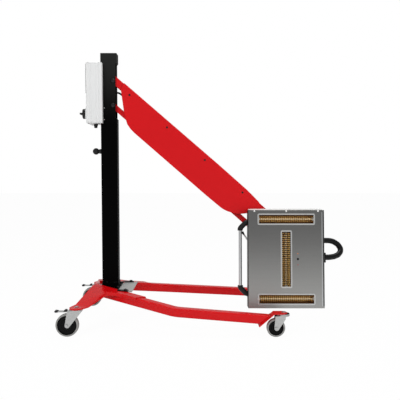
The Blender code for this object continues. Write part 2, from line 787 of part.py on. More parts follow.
def leg(name, chassis, side):
    half = LEG_SECTION / 2
    route = eased([LEG_REAR, LEG_BEND, LEG_FRONT], LEG_BEND_RADIUS, LEG_BEND_STEPS)
    outer = rounded_outline((-half, -half), (half, half), LEG_CORNER)
    inside = half - LEG_WALL
    inner = rounded_outline((-inside, -inside), (inside, inside), LEG_CORNER - LEG_WALL)
    back = (route[0] - route[1]).normalized() * OVERRUN
    ahead = (route[-1] - route[-2]).normalized() * OVERRUN
    bore = swept([route[0] + back, *route[1:-1], route[-1] + ahead], inner)
    mirror = Matrix.Diagonal((1, side, 1, 1))
    # The front is cut on the slant of the plate that closes it
    reach = 4 * LEG_SECTION
    blade = box((0, -reach, -reach), (2 * reach, reach, reach))
    place = Matrix.Translation((PAD_FOOT_X - GAP / math.sin(PAD_SLANT), FRONT_SWIVEL_Y, PAD_FOOT_Z))
    blade = moved(blade, place @ Matrix.Rotation(math.pi / 2 - PAD_SLANT, 4, "Y"))
    tools = [moved(bore, mirror), moved(blade, mirror)]
    piece(name, chassis, RED_PAINT, [moved(swept(route, outer), mirror)], tools)


def arch(name, chassis, side):
    """A pressed sheet: over the leg, then falling to a flat round pad over the rear caster."""
    offset = LEG_SECTION / 2 + GAP + ARCH_SHEET
    pad = Vector((REAR_SWIVEL_X, REAR_SWIVEL_Y))
    toward = (Vector(ARCH_AIM) - pad).normalized()
    rearward = Vector((toward.y, -toward.x))
    tip = [
        pad + ARCH_PAD_RADIUS * (math.cos(a) * rearward - math.sin(a) * toward)
        for a in (math.pi * step / ARCH_ARC_STEPS for step in range(ARCH_ARC_STEPS + 1))
    ]
    corner = LegLine.side_point(ARCH_CORNER_X, offset)
    sleeve_outer = LegLine.side_point(ARCH_SLEEVE_OUTER_X, offset)
    front_edge = eased([tip[-1], corner, sleeve_outer], ARCH_CORNER_RADIUS, ARCH_ARC_STEPS)
    sleeve_inner = LegLine.side_point(ARCH_SLEEVE_INNER_X, -offset)
    outline = [sleeve_inner, LegLine.side_point(ARCH_APEX_X, -offset), *tip, *front_edge[1:]]
    over_leg = (LEG_SECTION / 2 + GAP + ARCH_SHEET) / LegLine.steepness
    pad_top = REAR_CASTER_HEIGHT + ARCH_SHEET

    def leg_height(place):
        return LegLine.middle_height(place) + over_leg

    # The fall to the pad is as steep as it must be to stay above the rear end of the leg
    end_corner = LegLine.side_point(LEG_REAR[0] - LEG_SECTION / 2 * LegLine.flat.y, LEG_SECTION / 2)
    rise = leg_height(end_corner) + ARCH_SHEET - pad_top
    steep = rise / ((end_corner - pad).dot(toward) - ARCH_PAD_REACH)

    def arm_height(place):
        return pad_top + steep * ((Vector(place) - pad).dot(toward) - ARCH_PAD_REACH)

    sheet = bmesh.new()
    corners = [sheet.verts.new((p[0], p[1], 0)) for p in outline]
    sheet.faces.new(corners)
    sheet.normal_update()
    bmesh.ops.triangulate(sheet, faces=sheet.faces)
    grade = LegLine.flat * LegLine.fall - toward * steep
    here = leg_height((0, 0)) - arm_height((0, 0))
    crease = -here / grade.length_squared * grade
    folds = (
        (pad + toward * ARCH_PAD_REACH, toward),
        (crease, grade),
    )
    for point, normal in folds:
        bmesh.ops.bisect_plane(
            sheet, geom=sheet.verts[:] + sheet.edges[:] + sheet.faces[:], dist=MERGE,
            plane_co=(point.x, point.y, 0), plane_no=(normal.x, normal.y, 0),
        )
    bmesh.ops.recalc_face_normals(sheet, faces=sheet.faces)
    if sum(f.normal.z for f in sheet.faces) < 0:
        bmesh.ops.reverse_faces(sheet, faces=sheet.faces)
    for v in sheet.verts:
        place = (v.co.x, v.co.y)
        v.co.z = max(pad_top, min(leg_height(place), arm_height(place)))
    # A lip turns down along every edge but the open sleeve end
    across = (sleeve_outer - sleeve_inner).normalized()
    rim = [
        e for e in sheet.edges
        if e.is_boundary and not all(
            abs((Vector(v.co.xy) - sleeve_inner).cross(across)) < WELD for v in e.verts
        )
    ]
    grown = bmesh.ops.extrude_edge_only(sheet, edges=rim)["geom"]
    for v in [g for g in grown if isinstance(g, bmesh.types.BMVert)]:
        v.co.z = max(v.co.z - ARCH_LIP, pad_top - ARCH_PAD_LIP)
    mesh = bpy.data.meshes.new("sheet")
    sheet.to_mesh(mesh)
    sheet.free()
    obj = helper(mesh)
    wall = obj.modifiers.new("wall", "SOLIDIFY")
    wall.thickness = ARCH_SHEET
    wall.offset = -1
    wall.solidify_mode = "NON_MANIFOLD"
    wall.nonmanifold_thickness_mode = "CONSTRAINTS"
    wall.nonmanifold_boundary_mode = "NONE"
    shape = moved(mesh_of(obj), Matrix.Diagonal((1, side, 1, 1)))
    x, y = REAR_SWIVEL_X, side * REAR_SWIVEL_Y
    piece(name, chassis, RED_PAINT, [shape, *kingpin(x, y, pad_top, REAR_CASTER_HEIGHT, REAR_CASTER_HEIGHT)])


def front_pad(name, chassis, side):
    """A plate bent from the slanted end of the leg to level over the front caster."""
    top = FRONT_CASTER_HEIGHT + PAD_SHEET
    slope = math.tan(PAD_SLANT)
    low_x = PAD_FOOT_X + PAD_SHEET * math.sin(PAD_SLANT)
    low_z = PAD_FOOT_Z - PAD_SHEET * math.cos(PAD_SLANT)
    tip_x = PAD_FRONT_X - PAD_WIDTH / 2
    outline = [
        (PAD_FOOT_X, PAD_FOOT_Z),
        (PAD_FOOT_X + (top - PAD_FOOT_Z) / slope, top),
        (tip_x, top),
        (tip_x, FRONT_CASTER_HEIGHT),
        (low_x + (FRONT_CASTER_HEIGHT - low_z) / slope, FRONT_CASTER_HEIGHT),
        (low_x, low_z),
    ]
    y = side * FRONT_SWIVEL_Y
    tip = bar(PAD_WIDTH / 2, (tip_x, y, FRONT_CASTER_HEIGHT), (tip_x, y, top), WHEEL_STEPS)
    solids = [side_plate(outline, y - PAD_WIDTH / 2, y + PAD_WIDTH / 2), tip]
    solids += kingpin(FRONT_SWIVEL_X, y, top, FRONT_CASTER_HEIGHT, FRONT_CASTER_HEIGHT)
    piece(name, chassis, RED_PAINT, solids)


def between_legs(rear_x, front_x):
    """A trapezoid that fits between the two arches."""
    offset = -(LEG_SECTION / 2 + GAP + ARCH_SHEET + GAP)
    rear = LegLine.side_point(rear_x, offset).y
    front = LegLine.side_point(front_x, offset).y
    return [(rear_x, -rear), (front_x, -front), (front_x, front), (rear_x, rear)]


def base(chassis):
    for side, word in ((-1, "right"), (1, "left")):
        leg(f"{word}_base_leg", chassis, side)
        arch(f"{word}_base_arch", chassis, side)
        front_pad(f"{word}_front_pad", chassis, side)
        caster(
            f"rear_{word}", chassis, (REAR_SWIVEL_X, side * REAR_SWIVEL_Y), REAR_WHEEL_RADIUS,
            REAR_CASTER_HEIGHT, REAR_TRAIL, REAR_FORK_FRONT, REAR_FORK_DROP, braked=True,
        )
        caster(
            f"front_{word}", chassis, (FRONT_SWIVEL_X, side * FRONT_SWIVEL_Y), FRONT_WHEEL_RADIUS,
            FRONT_CASTER_HEIGHT, FRONT_TRAIL, FRONT_FORK_FRONT, FRONT_FORK_DROP, braked=False,
        )
    under = DECK_TOP - DECK_SHEET
    beam = floor_plate(
        between_legs(DECK_BEAM_REAR_X, DECK_BEAM_FRONT_X), under - DECK_BEAM_DEPTH, under + WELD
    )
    top = floor_plate(between_legs(DECK_REAR_X, DECK_FRONT_X), under, DECK_TOP)
    piece("deck_plate", chassis, LIGHT_GREY, [top, beam])


def cable_hole(start_x):
    """The cutter for the cable's way from the control box into the mast."""
    _, y, z = CABLE_ROUTE[0]
    return bar(CABLE_RADIUS + 2 * GAP, (start_x, y, UPPER_PIVOT_Z + z), (0, y, UPPER_PIVOT_Z + z))


def mast_block(low, high, grow=0.0, corner=0.0):
    """A block on the mast's section between two heights, larger all round by grow."""
    low_corner = (MAST_REAR_X - grow, -MAST_HALF_WIDTH - grow, low)
    high_corner = (MAST_FRONT_X + grow, MAST_HALF_WIDTH + grow, high)
    return box(low_corner, high_corner, corner, 2) if corner else box(low_corner, high_corner)


def mast(chassis):
    foot_low = DECK_TOP + GAP
    foot_top = foot_low + FOOT_PLATE
    top = MAST_TOP - CAP_THICKNESS - GAP
    collar = mast_block(foot_top - WELD, FOOT_COLLAR_TOP, WELD)
    for v in collar.verts:
        if v.co.z < foot_top:
            v.co.x += math.copysign(FOOT_FLARE, v.co.x)
            v.co.y += math.copysign(FOOT_FLARE, v.co.y)
    solids = [
        mast_block(foot_low + WELD, top, corner=MAST_CORNER),
        floor_plate(between_legs(FOOT_REAR_X, FOOT_FRONT_X), foot_low, foot_top),
        collar,
    ]
    window = box(
        (MAST_FRONT_X - WINDOW_DEPTH, -MAST_DEPTH, WINDOW_LOW), (MAST_DEPTH, MAST_DEPTH, WINDOW_HIGH),
        WINDOW_CORNER, 1,
    )
    holes = [
        bar(PIVOT_RADIUS + GAP, (PIVOT_X, -MAST_DEPTH, z), (PIVOT_X, MAST_DEPTH, z), ROUND)
        for z in (UPPER_PIVOT_Z, UPPER_PIVOT_Z - ARM_SPACING)
    ]
    hole = cable_hole(-MAST_DEPTH)
    bore = mast_block(foot_top, MAST_TOP + OVERRUN, -MAST_WALL)
    piece("mast", chassis, BLACK_PAINT, solids, [bore, window, *holes, hole])
    cap = mast_block(top + GAP, MAST_TOP, corner=MAST_CORNER)
    skirt = mast_block(top - CAP_SKIRT, top + GAP + WELD, -MAST_WALL - GAP)
    piece("mast_cap", chassis, BLACK_PLASTIC, [cap, skirt])
    ball = [
        (PEG_BALL_RADIUS * math.sin(a), PEG_REACH - PEG_BALL_RADIUS + PEG_BALL_RADIUS * math.cos(a))
        for a in (math.radians(140) * step / PEG_ARC_STEPS for step in range(PEG_ARC_STEPS + 1))
    ]
    neck_end = ball[-1][1] - PEG_NECK_RADIUS / 2
    profile = [
        (0, PEG_REACH), *ball[1:], (PEG_NECK_RADIUS, neck_end), (PEG_STEM_RADIUS, neck_end / 2),
        (PEG_STEM_RADIUS, 0), (0, 0)
    ]
    root = (MAST_REAR_X - GAP, 0, PEG_HEIGHT)
    piece("cable_peg", chassis, BLACK_PLASTIC, [turned(profile, root, (-1, 0, 0))])
    for word, z in (("upper", UPPER_PIVOT_Z), ("lower", UPPER_PIVOT_Z - ARM_SPACING)):
        seat = MAST_HALF_WIDTH + GAP
        profile = [
            (0, PIVOT_HEAD), (PIVOT_HEAD_RADIUS * 0.6, PIVOT_HEAD * 0.85),
            (PIVOT_HEAD_RADIUS * 0.9, PIVOT_HEAD * 0.5), (PIVOT_HEAD_RADIUS, 0), (PIVOT_RADIUS, 0),
            (PIVOT_RADIUS, -2 * seat - WELD), (0, -2 * seat - WELD),
        ]
        nut = bar(PIVOT_NUT_RADIUS, (PIVOT_X, seat, z), (PIVOT_X, seat + PIVOT_RADIUS, z), 6)
        pin = turned(profile, (PIVOT_X, -seat, z), (0, -1, 0))
        piece(f"{word}_pivot_pin", chassis, BLACK_PAINT, [pin, nut])


def box_outline(shrink=0.0):
    """The control box's section: its front takes in the rear of the mast."""
    wide = BOX_HALF_WIDTH - shrink
    notch = MAST_HALF_WIDTH + GAP
    notch_x = MAST_REAR_X - GAP
    return [
        (BOX_REAR_X + shrink, -wide), (BOX_FRONT_X, -wide), (BOX_FRONT_X, -notch), (notch_x, -notch),
        (notch_x, notch), (BOX_FRONT_X, notch), (BOX_FRONT_X, wide), (BOX_REAR_X + shrink, wide),
    ]


def control_box(chassis):
    low = BOX_LOW + BOX_CAP + GAP
    high = BOX_HIGH - BOX_CAP - GAP
    inner_rear = BOX_REAR_X + BOX_WALL
    inner_front = MAST_REAR_X - GAP - BOX_WALL
    wide = BOX_HALF_WIDTH - BOX_WALL
    hollow = [(inner_rear, -wide), (inner_front, -wide), (inner_front, wide), (inner_rear, wide)]
    shell = floor_plate(box_outline(), low, high, [hollow])
    base_back = BOX_REAR_X - SWITCH_BASE_DEPTH
    flat = SWITCH_BASE_HALF
    wedge = [
        (BOX_REAR_X + WELD, SWITCH_HEIGHT + flat + SWITCH_BASE_SLOPE), (base_back, SWITCH_HEIGHT + flat),
        (base_back, SWITCH_HEIGHT - flat), (BOX_REAR_X + WELD, SWITCH_HEIGHT - flat - SWITCH_BASE_SLOPE),
    ]
    hole = cable_hole(inner_front - OVERRUN)
    piece("control_box", chassis, WHITE_ALLOY, [shell, side_plate(wedge, -flat, flat)], [hole])
    piece("box_bottom_cap", chassis, WHITE_ALLOY, [floor_plate(box_outline(), BOX_LOW, BOX_LOW + BOX_CAP)])
    piece("box_top_cap", chassis, WHITE_ALLOY, [floor_plate(box_outline(), BOX_HIGH - BOX_CAP, BOX_HIGH)])
    profile = [
        (GLAND_RADIUS, 0), (GLAND_RADIUS, -GLAND_NUT), (GLAND_TIP_RADIUS, -GLAND_LENGTH + GLAND_BORE),
        (GLAND_TIP_RADIUS - RUNNING, -GLAND_LENGTH), (GLAND_BORE, -GLAND_LENGTH), (GLAND_BORE, 0),
    ]
    gland = turned(profile, (GLAND_X, 0, BOX_LOW - GAP), (0, 0, 1), ROUND, ring=True)
    piece("cable_gland", chassis, BLACK_PLASTIC, [gland])
    panel_front = BOX_REAR_X - GAP
    panel_back = panel_front - PANEL_SHEET
    panel = box(
        (panel_back, -PANEL_HALF_WIDTH, PANEL_LOW), (panel_front, PANEL_HALF_WIDTH, PANEL_HIGH),
        PANEL_SHEET / 4
    )
    recess = box(
        (panel_back - OVERRUN, -SCREEN_HALF_WIDTH, SCREEN_LOW), (
            panel_back + SCREEN_RECESS, SCREEN_HALF_WIDTH, SCREEN_HIGH
        )
    )
    cuts = [recess]
    for word, side, look in (("start", -1, GREEN_KEY), ("stop", 1, RED_KEY)):
        y = side * KEY_SPACING / 2
        back = panel_back - KEY_PROUD
        inner = BOX_REAR_X - KEY_BACK_GAP
        cuts.append(bar(KEY_RADIUS + RUNNING, (back - OVERRUN, y, KEY_HEIGHT), (0, y, KEY_HEIGHT), ROUND))
        key_body = Body(f"{word}_key_slide", (inner, y, KEY_HEIGHT), chassis)
        piece(
            f"{word}_key", key_body, look,
            [bar(KEY_RADIUS, (back, y, KEY_HEIGHT), (inner, y, KEY_HEIGHT), ROUND)]
        )
    piece("display_panel", chassis, BLACK_PLASTIC, [panel], cuts)
    knob_seat = base_back - GAP
    knob_back = knob_seat - KNOB_THICKNESS
    knob_body = Body("switch_axis", (knob_seat, 0, SWITCH_HEIGHT), chassis)
    disc = bar(KNOB_RADIUS, (knob_seat, 0, SWITCH_HEIGHT), (knob_back, 0, SWITCH_HEIGHT), ROUND)
    grip = box(
        (knob_back - GRIP_DEPTH, -GRIP_HALF_LENGTH, SWITCH_HEIGHT - GRIP_HALF_WIDTH),
        (knob_back + WELD, GRIP_HALF_LENGTH, SWITCH_HEIGHT + GRIP_HALF_WIDTH), GRIP_HALF_WIDTH / 3,
    )
    piece("main_switch_knob", knob_body, BLACK_PLASTIC, [disc, grip])
    board_rear = inner_rear + GAP + BOARD_STANDOFF
    board_front = board_rear + BOARD_THICKNESS
    solids = [box((board_rear, -BOARD_HALF_WIDTH, BOARD_LOW), (board_front, BOARD_HALF_WIDTH, BOARD_HIGH))]
    for y in (-BOARD_HALF_WIDTH + STANDOFF_INSET, BOARD_HALF_WIDTH - STANDOFF_INSET):
        for z in (BOARD_LOW + STANDOFF_INSET, BOARD_HIGH - STANDOFF_INSET):
            solids.append(bar(STANDOFF_RADIUS, (inner_rear + GAP, y, z), (board_front + WELD, y, z)))
    depth, width, height = COIL_BLOCK
    middle = (BOARD_LOW + BOARD_HIGH) / 2
    low_corner = (board_front - WELD, -width / 2, middle - height / 2)
    solids.append(box(low_corner, (board_front + depth, width / 2, middle + height / 2)))
    piece("control_board", chassis, GREEN_BOARD, solids)


def arm_frame(pivot_z):
    """From a length along an arm, y, and height across it, to the layout."""
    return Matrix.Translation((PIVOT_X, 0, pivot_z)) @ Matrix.Rotation(ARM_DROP, 4, "Y")


def channel_arm(pivot_z, start, mouth, depth, width, hole_radius, far_hole_radius, rise=0.0):
    """A channel open below, with round ends, a hole at each pivot and no top behind its mouth.

    Its section may stand higher than the line of its pivots, by a rise.
    """
    half = depth / 2
    frame = arm_frame(pivot_z)
    body = side_plate(slot_outline((start, rise), (ARM_LENGTH, rise), half), -width / 2, width / 2)
    inside = width / 2 - ARM_WALL
    back = start - depth
    out = ARM_LENGTH + depth
    roof = rise + half - ARM_WALL
    pocket = side_plate(
        [
            (back, -depth), (out, -depth), (out, roof), (mouth, roof), (mouth, rise + depth),
            (back, rise + depth)
        ],
        -inside, inside,
    )
    near = bar(hole_radius, (0, -width, 0), (0, width, 0), ROUND)
    far = bar(far_hole_radius, (ARM_LENGTH, -width, 0), (ARM_LENGTH, width, 0), ROUND)
    return moved(body, frame), [moved(shape, frame) for shape in (pocket, merged([near, far]))]


def arms(chassis):
    """Upper arm with its tail and spacers, lower arm and balance spring. Returns the upper arm's body."""
    frame = arm_frame(UPPER_PIVOT_Z)
    upper = Body("arm_lift", (PIVOT_X, 0, UPPER_PIVOT_Z), chassis)
    lower_z = UPPER_PIVOT_Z - ARM_SPACING
    lower = Body("lower_arm_pivot", (PIVOT_X, 0, lower_z), chassis)
    hole = PIVOT_RADIUS + RUNNING
    channel, cuts = channel_arm(
        UPPER_PIVOT_Z, -TAIL_LENGTH, -ARM_WALL, UPPER_ARM_DEPTH, UPPER_ARM_WIDTH, hole, hole, UPPER_ARM_RISE
    )
    reach = COVER_HALF_WIDTH - COVER_SHEET - GAP
    spacers = [
        moved(bar(SPACER_RADIUS, (share * ARM_LENGTH, -reach, 0), (share * ARM_LENGTH, reach, 0)), frame)
        for share in SPACER_SHARES
    ]
    wall = UPPER_ARM_WIDTH / 2 - ARM_WALL / 2
    tail_pin = moved(bar(TAIL_PIN_RADIUS, (-TAIL_LENGTH, -wall, 0), (-TAIL_LENGTH, wall, 0)), frame)
    shell = piece("upper_arm", upper, RED_PAINT, [channel], cuts)
    tool = placed(
        "upper_arm_join", merged([*spacers, tail_pin]), upper, shell.location + upper.anchor, CUTTERS
    )
    tool.hide_render = True
    tool.display_type = "WIRE"
    join = shell.modifiers.new("join", "BOOLEAN")
    join.operation = "UNION"
    join.solver = "EXACT"
    join.object = tool
    channel, cuts = channel_arm(
        lower_z, 0, -LOWER_ARM_DEPTH, LOWER_ARM_DEPTH, LOWER_ARM_WIDTH, hole, hole + OPEN_PIVOT_CLEARANCE
    )
    piece("lower_arm", lower, RED_PAINT, [channel], cuts)
    balance_spring(chassis)
    arm_cover(upper)
    route = [(x, y, UPPER_PIVOT_Z + z) for x, y, z in CABLE_ROUTE]
    piece("arm_cable", chassis, BLACK_PLASTIC, [tube(route, CABLE_RADIUS, 2)])
    return upper


def balance_spring(chassis):
    """A gas spring that pulls the arm's tail down. Its eye is slotted: its small swing isn't modelled."""
    rest_x = PIVOT_X - TAIL_LENGTH * math.cos(ARM_DROP)
    far_x = PIVOT_X - TAIL_LENGTH
    x = (rest_x + far_x) / 2
    z = UPPER_PIVOT_Z + TAIL_LENGTH * math.sin(ARM_DROP)
    slide = Body("spring_stroke", (x, 0, z), chassis)
    eye = box(
        (x - EYE_HALF, -EYE_HALF_WIDTH, z - EYE_HALF_HEIGHT),
        (x + EYE_HALF, EYE_HALF_WIDTH, z + EYE_HALF_HEIGHT)
    )
    slot = side_plate(
        rounded_outline(
            (
                x - EYE_SLOT_HALF, z - EYE_SLOT_HALF_HEIGHT
            ), (x + EYE_SLOT_HALF, z + EYE_SLOT_HALF_HEIGHT), TAIL_PIN_RADIUS
        ),
        -MAST_DEPTH, MAST_DEPTH,
    )
    eye_low = z - EYE_HALF_HEIGHT
    rod = bar(SPRING_ROD_RADIUS, (x, 0, eye_low - SPRING_ROD_LENGTH), (x, 0, eye_low + WELD))
    piece("balance_rod", slide, STEEL, [eye, rod], [slot])
    tube_high = z - SPRING_TUBE_BELOW
    tube_low = tube_high - SPRING_TUBE_LENGTH
    case = bar(SPRING_TUBE_RADIUS, (x, 0, tube_low), (x, 0, tube_high), ROUND)
    wall = MAST_HALF_WIDTH - MAST_WALL - GAP
    low = tube_low + SPRING_TUBE_RADIUS
    lug = bar(SPRING_LUG_RADIUS, (x, -wall, low), (x, wall, low))
    bore = bar(
        SPRING_ROD_RADIUS + RUNNING, (x, 0, tube_high - SPRING_BORE_DEPTH), (x, 0, tube_high + OVERRUN)
    )
    piece("balance_cylinder", chassis, BLACK_PAINT, [case, lug], [bore])


def arm_cover(upper):
    """A folded sheet over the arms, open below: two sides joined by the top, with a bevelled fold."""
    frame = arm_frame(UPPER_PIVOT_Z)
    top, bottom = [
        [(frame @ Vector((along * ARM_LENGTH, 0, above * ARM_SPACING))).xz for along, above in shares]
        for shares in (COVER_TOP_SHARES, COVER_BOTTOM_SHARES)
    ]
    solid = folded_prism([*top, *bottom], len(top), COVER_HALF_WIDTH, COVER_FOLD)
    inner_top = []
    for place, before, after in zip(top, [top[0], *top], top[1:-1]):
        run = (after - before).normalized()
        inner_top.append(place + COVER_SHEET * Vector((run.y, -run.x)))
    inner_top[0] += (inner_top[0] - inner_top[1]).normalized() * OVERRUN
    # The arm comes out of the top near the tip
    for along in (COVER_MOUTH_SHARE * ARM_LENGTH, ARM_LENGTH + OVERRUN):
        place = frame @ Vector((along, 0, UPPER_ARM_RISE + UPPER_ARM_DEPTH / 2 + COVER_SHEET))
        inner_top.append(place.xz)
    below = min(inner_top[-1].y, *(place.y for place in bottom)) - OVERRUN
    left = min(place.x for place in bottom) - OVERRUN
    right = inner_top[-1].x
    cutter = [tuple(p) for p in inner_top] + [(right, below), (left, below)]
    cutter.append((left, inner_top[0].y))
    hollow = folded_prism(
        cutter, len(inner_top), COVER_HALF_WIDTH - COVER_SHEET, COVER_FOLD - COVER_SHEET / 2
    )
    piece("arm_cover", upper, RED_PAINT, [solid], [hollow])


def folded_prism(outline, top_count, half, fold):
    """An outline in x and z, thick from -half to half, with the two long edges of its top rounded."""
    turns = [math.pi / 2 * step / FOLD_STEPS for step in range(FOLD_STEPS + 1)]
    edge = [(half - fold + fold * math.cos(a), fold - fold * math.sin(a)) for a in turns]
    across = edge + [(-y, drop) for y, drop in reversed(edge)]
    top = [Vector(p) for p in outline[:top_count]]
    shape = bmesh.new()
    rings = []
    for place, before, after in zip(top, [top[0], *top], [*top[1:], top[-1]]):
        run = (after - before).normalized()
        inward = Vector((run.y, -run.x))
        points = [(place + inward * drop, y) for y, drop in across]
        rings.append([shape.verts.new((p.x, y, p.y)) for p, y in points])
    pairs = [[shape.verts.new((x, y, z)) for y in (half, -half)] for x, z in outline[top_count:]]
    for first, second in zip(rings, rings[1:]):
        for number in range(len(across) - 1):
            shape.faces.new((first[number], second[number], second[number + 1], first[number + 1]))
    for first, second in zip(pairs, pairs[1:]):
        shape.faces.new((first[0], second[0], second[1], first[1]))
    shape.faces.new([*rings[-1], pairs[0][1], pairs[0][0]])
    shape.faces.new([*reversed(rings[0]), pairs[-1][0], pairs[-1][1]])
    for number in (0, -1):
        shape.faces.new([ring[number] for ring in rings] + [pair[number] for pair in pairs])
    shape.normal_update()
    bmesh.ops.triangulate(shape, faces=shape.faces)
    bmesh.ops.recalc_face_normals(shape, faces=shape.faces)
    return shape


def carrier(upper):
    """Upright link at the outer end of the arms, with the sleeve for the swivel post."""
    far_x = OUTER_X
    high = OUTER_Z
    low = high - ARM_SPACING
    link = Body("carrier_pivot", (far_x, 0, high), upper)
    inner = UPPER_ARM_WIDTH / 2 + CARRIER_SIDE_GAP
    outer = inner + CARRIER_SHEET
    outline = rounded_outline(
        (CARRIER_REAR_X, low - CARRIER_MARGIN), (CARRIER_FRONT_X, high + CARRIER_MARGIN), CARRIER_CORNER
    )
    web_x = CARRIER_FRONT_X - CARRIER_WEB / 2
    web_end = SWIVEL_X - SLEEVE_RADIUS + CARRIER_SHEET
    solids = [
        side_plate(outline, -outer, -inner),
        box((web_x, -outer, SLEEVE_LOW), (web_end, outer, SLEEVE_HIGH)),
        side_plate(outline, inner, outer),
        bar(SLEEVE_RADIUS, (SWIVEL_X, 0, SLEEVE_LOW), (SWIVEL_X, 0, SLEEVE_HIGH), ROUND),
    ]
    for z in (high, low):
        solids.append(bar(PIVOT_RADIUS, (far_x, -outer - WELD, z), (far_x, outer + WELD, z), ROUND))
        for side in (-1, 1):
            seat = side * (outer - WELD)
            face = side * (outer + CARRIER_SHEET)
            solids.append(bar(PIVOT_HEAD_RADIUS, (far_x, seat, z), (far_x, face, z), 6))
    collar = LOWER_ARM_WIDTH / 2 + CARRIER_SIDE_GAP / 2
    for side in (-1, 1):
        solids.append(
            bar(PIVOT_HEAD_RADIUS, (far_x, side * collar, low), (far_x, side * (inner + WELD), low), ROUND)
        )
    bore = bar(
        POST_RADIUS + RUNNING, (SWIVEL_X, 0, SLEEVE_LOW - CARRIER_MARGIN - OVERRUN),
        (SWIVEL_X, 0, SLEEVE_HIGH + OVERRUN), ROUND
    )
    piece("head_carrier", link, BLACK_PAINT, solids, [bore])
    return link


def yoke(link):
    """Swivel post in the carrier's sleeve, with the barrel of the tilt joint below it."""
    swivel = Body("head_swivel", (SWIVEL_X, 0, SLEEVE_LOW), link)
    collar_low = TILT_Z - BARREL_RADIUS / 2
    solids = [
        bar(POST_COLLAR_RADIUS, (SWIVEL_X, 0, collar_low), (SWIVEL_X, 0, SLEEVE_LOW - GAP), ROUND),
        bar(POST_RADIUS, (SWIVEL_X, 0, collar_low + WELD), (SWIVEL_X, 0, SLEEVE_HIGH + GAP + WELD), ROUND),
        bar(
            POST_CAP_RADIUS, (SWIVEL_X, 0, SLEEVE_HIGH + GAP), (SWIVEL_X, 0, SLEEVE_HIGH + GAP + POST_CAP),
            ROUND
        ),
        box((SWIVEL_X - NECK_HALF, TILT_Y, collar_low), (SWIVEL_X + NECK_HALF, 0, TILT_Z + BARREL_RADIUS)),
        bar(
            BARREL_RADIUS, (SWIVEL_X - BARREL_HALF, TILT_Y, TILT_Z),
            (SWIVEL_X + BARREL_HALF, TILT_Y, TILT_Z), ROUND
        ),
    ]
    bore = bar(
        TILT_PIN_RADIUS + RUNNING, (
            SWIVEL_X - 2 * BARREL_HALF, TILT_Y, TILT_Z
        ), (SWIVEL_X + 2 * BARREL_HALF, TILT_Y, TILT_Z)
    )
    piece("head_yoke", swivel, BLACK_PAINT, solids, [bore])
    lock = Body("lock_lever_axis", (SWIVEL_X, TILT_Y, TILT_Z), swivel)
    hub_x = SWIVEL_X - TILT_PIN_LEFT
    ear_out = SWIVEL_X + BARREL_HALF + GAP + EAR_SHEET + GAP
    end = (hub_x - LEVER_REACH_X, TILT_Y, TILT_Z + LEVER_REACH_Z)
    ball = bmesh.new()
    bmesh.ops.create_uvsphere(ball, u_segments=SMALL_ROUND, v_segments=8, radius=LEVER_BALL_RADIUS)
    solids = [
        bar(TILT_PIN_RADIUS, (hub_x, TILT_Y, TILT_Z), (ear_out + WELD, TILT_Y, TILT_Z)),
        bar(
            LEVER_HUB_RADIUS, (hub_x - LEVER_HUB / 2, TILT_Y, TILT_Z),
            (hub_x + LEVER_HUB / 2, TILT_Y, TILT_Z), ROUND
        ),
        bar(LEVER_HUB_RADIUS, (ear_out, TILT_Y, TILT_Z), (ear_out + TILT_NUT, TILT_Y, TILT_Z), 6),
        bar(LEVER_RADIUS, (hub_x, TILT_Y, TILT_Z), end),
        moved(ball, Matrix.Translation(end)),
    ]
    piece("lock_lever", lock, ZINC, solids)
    return swivel


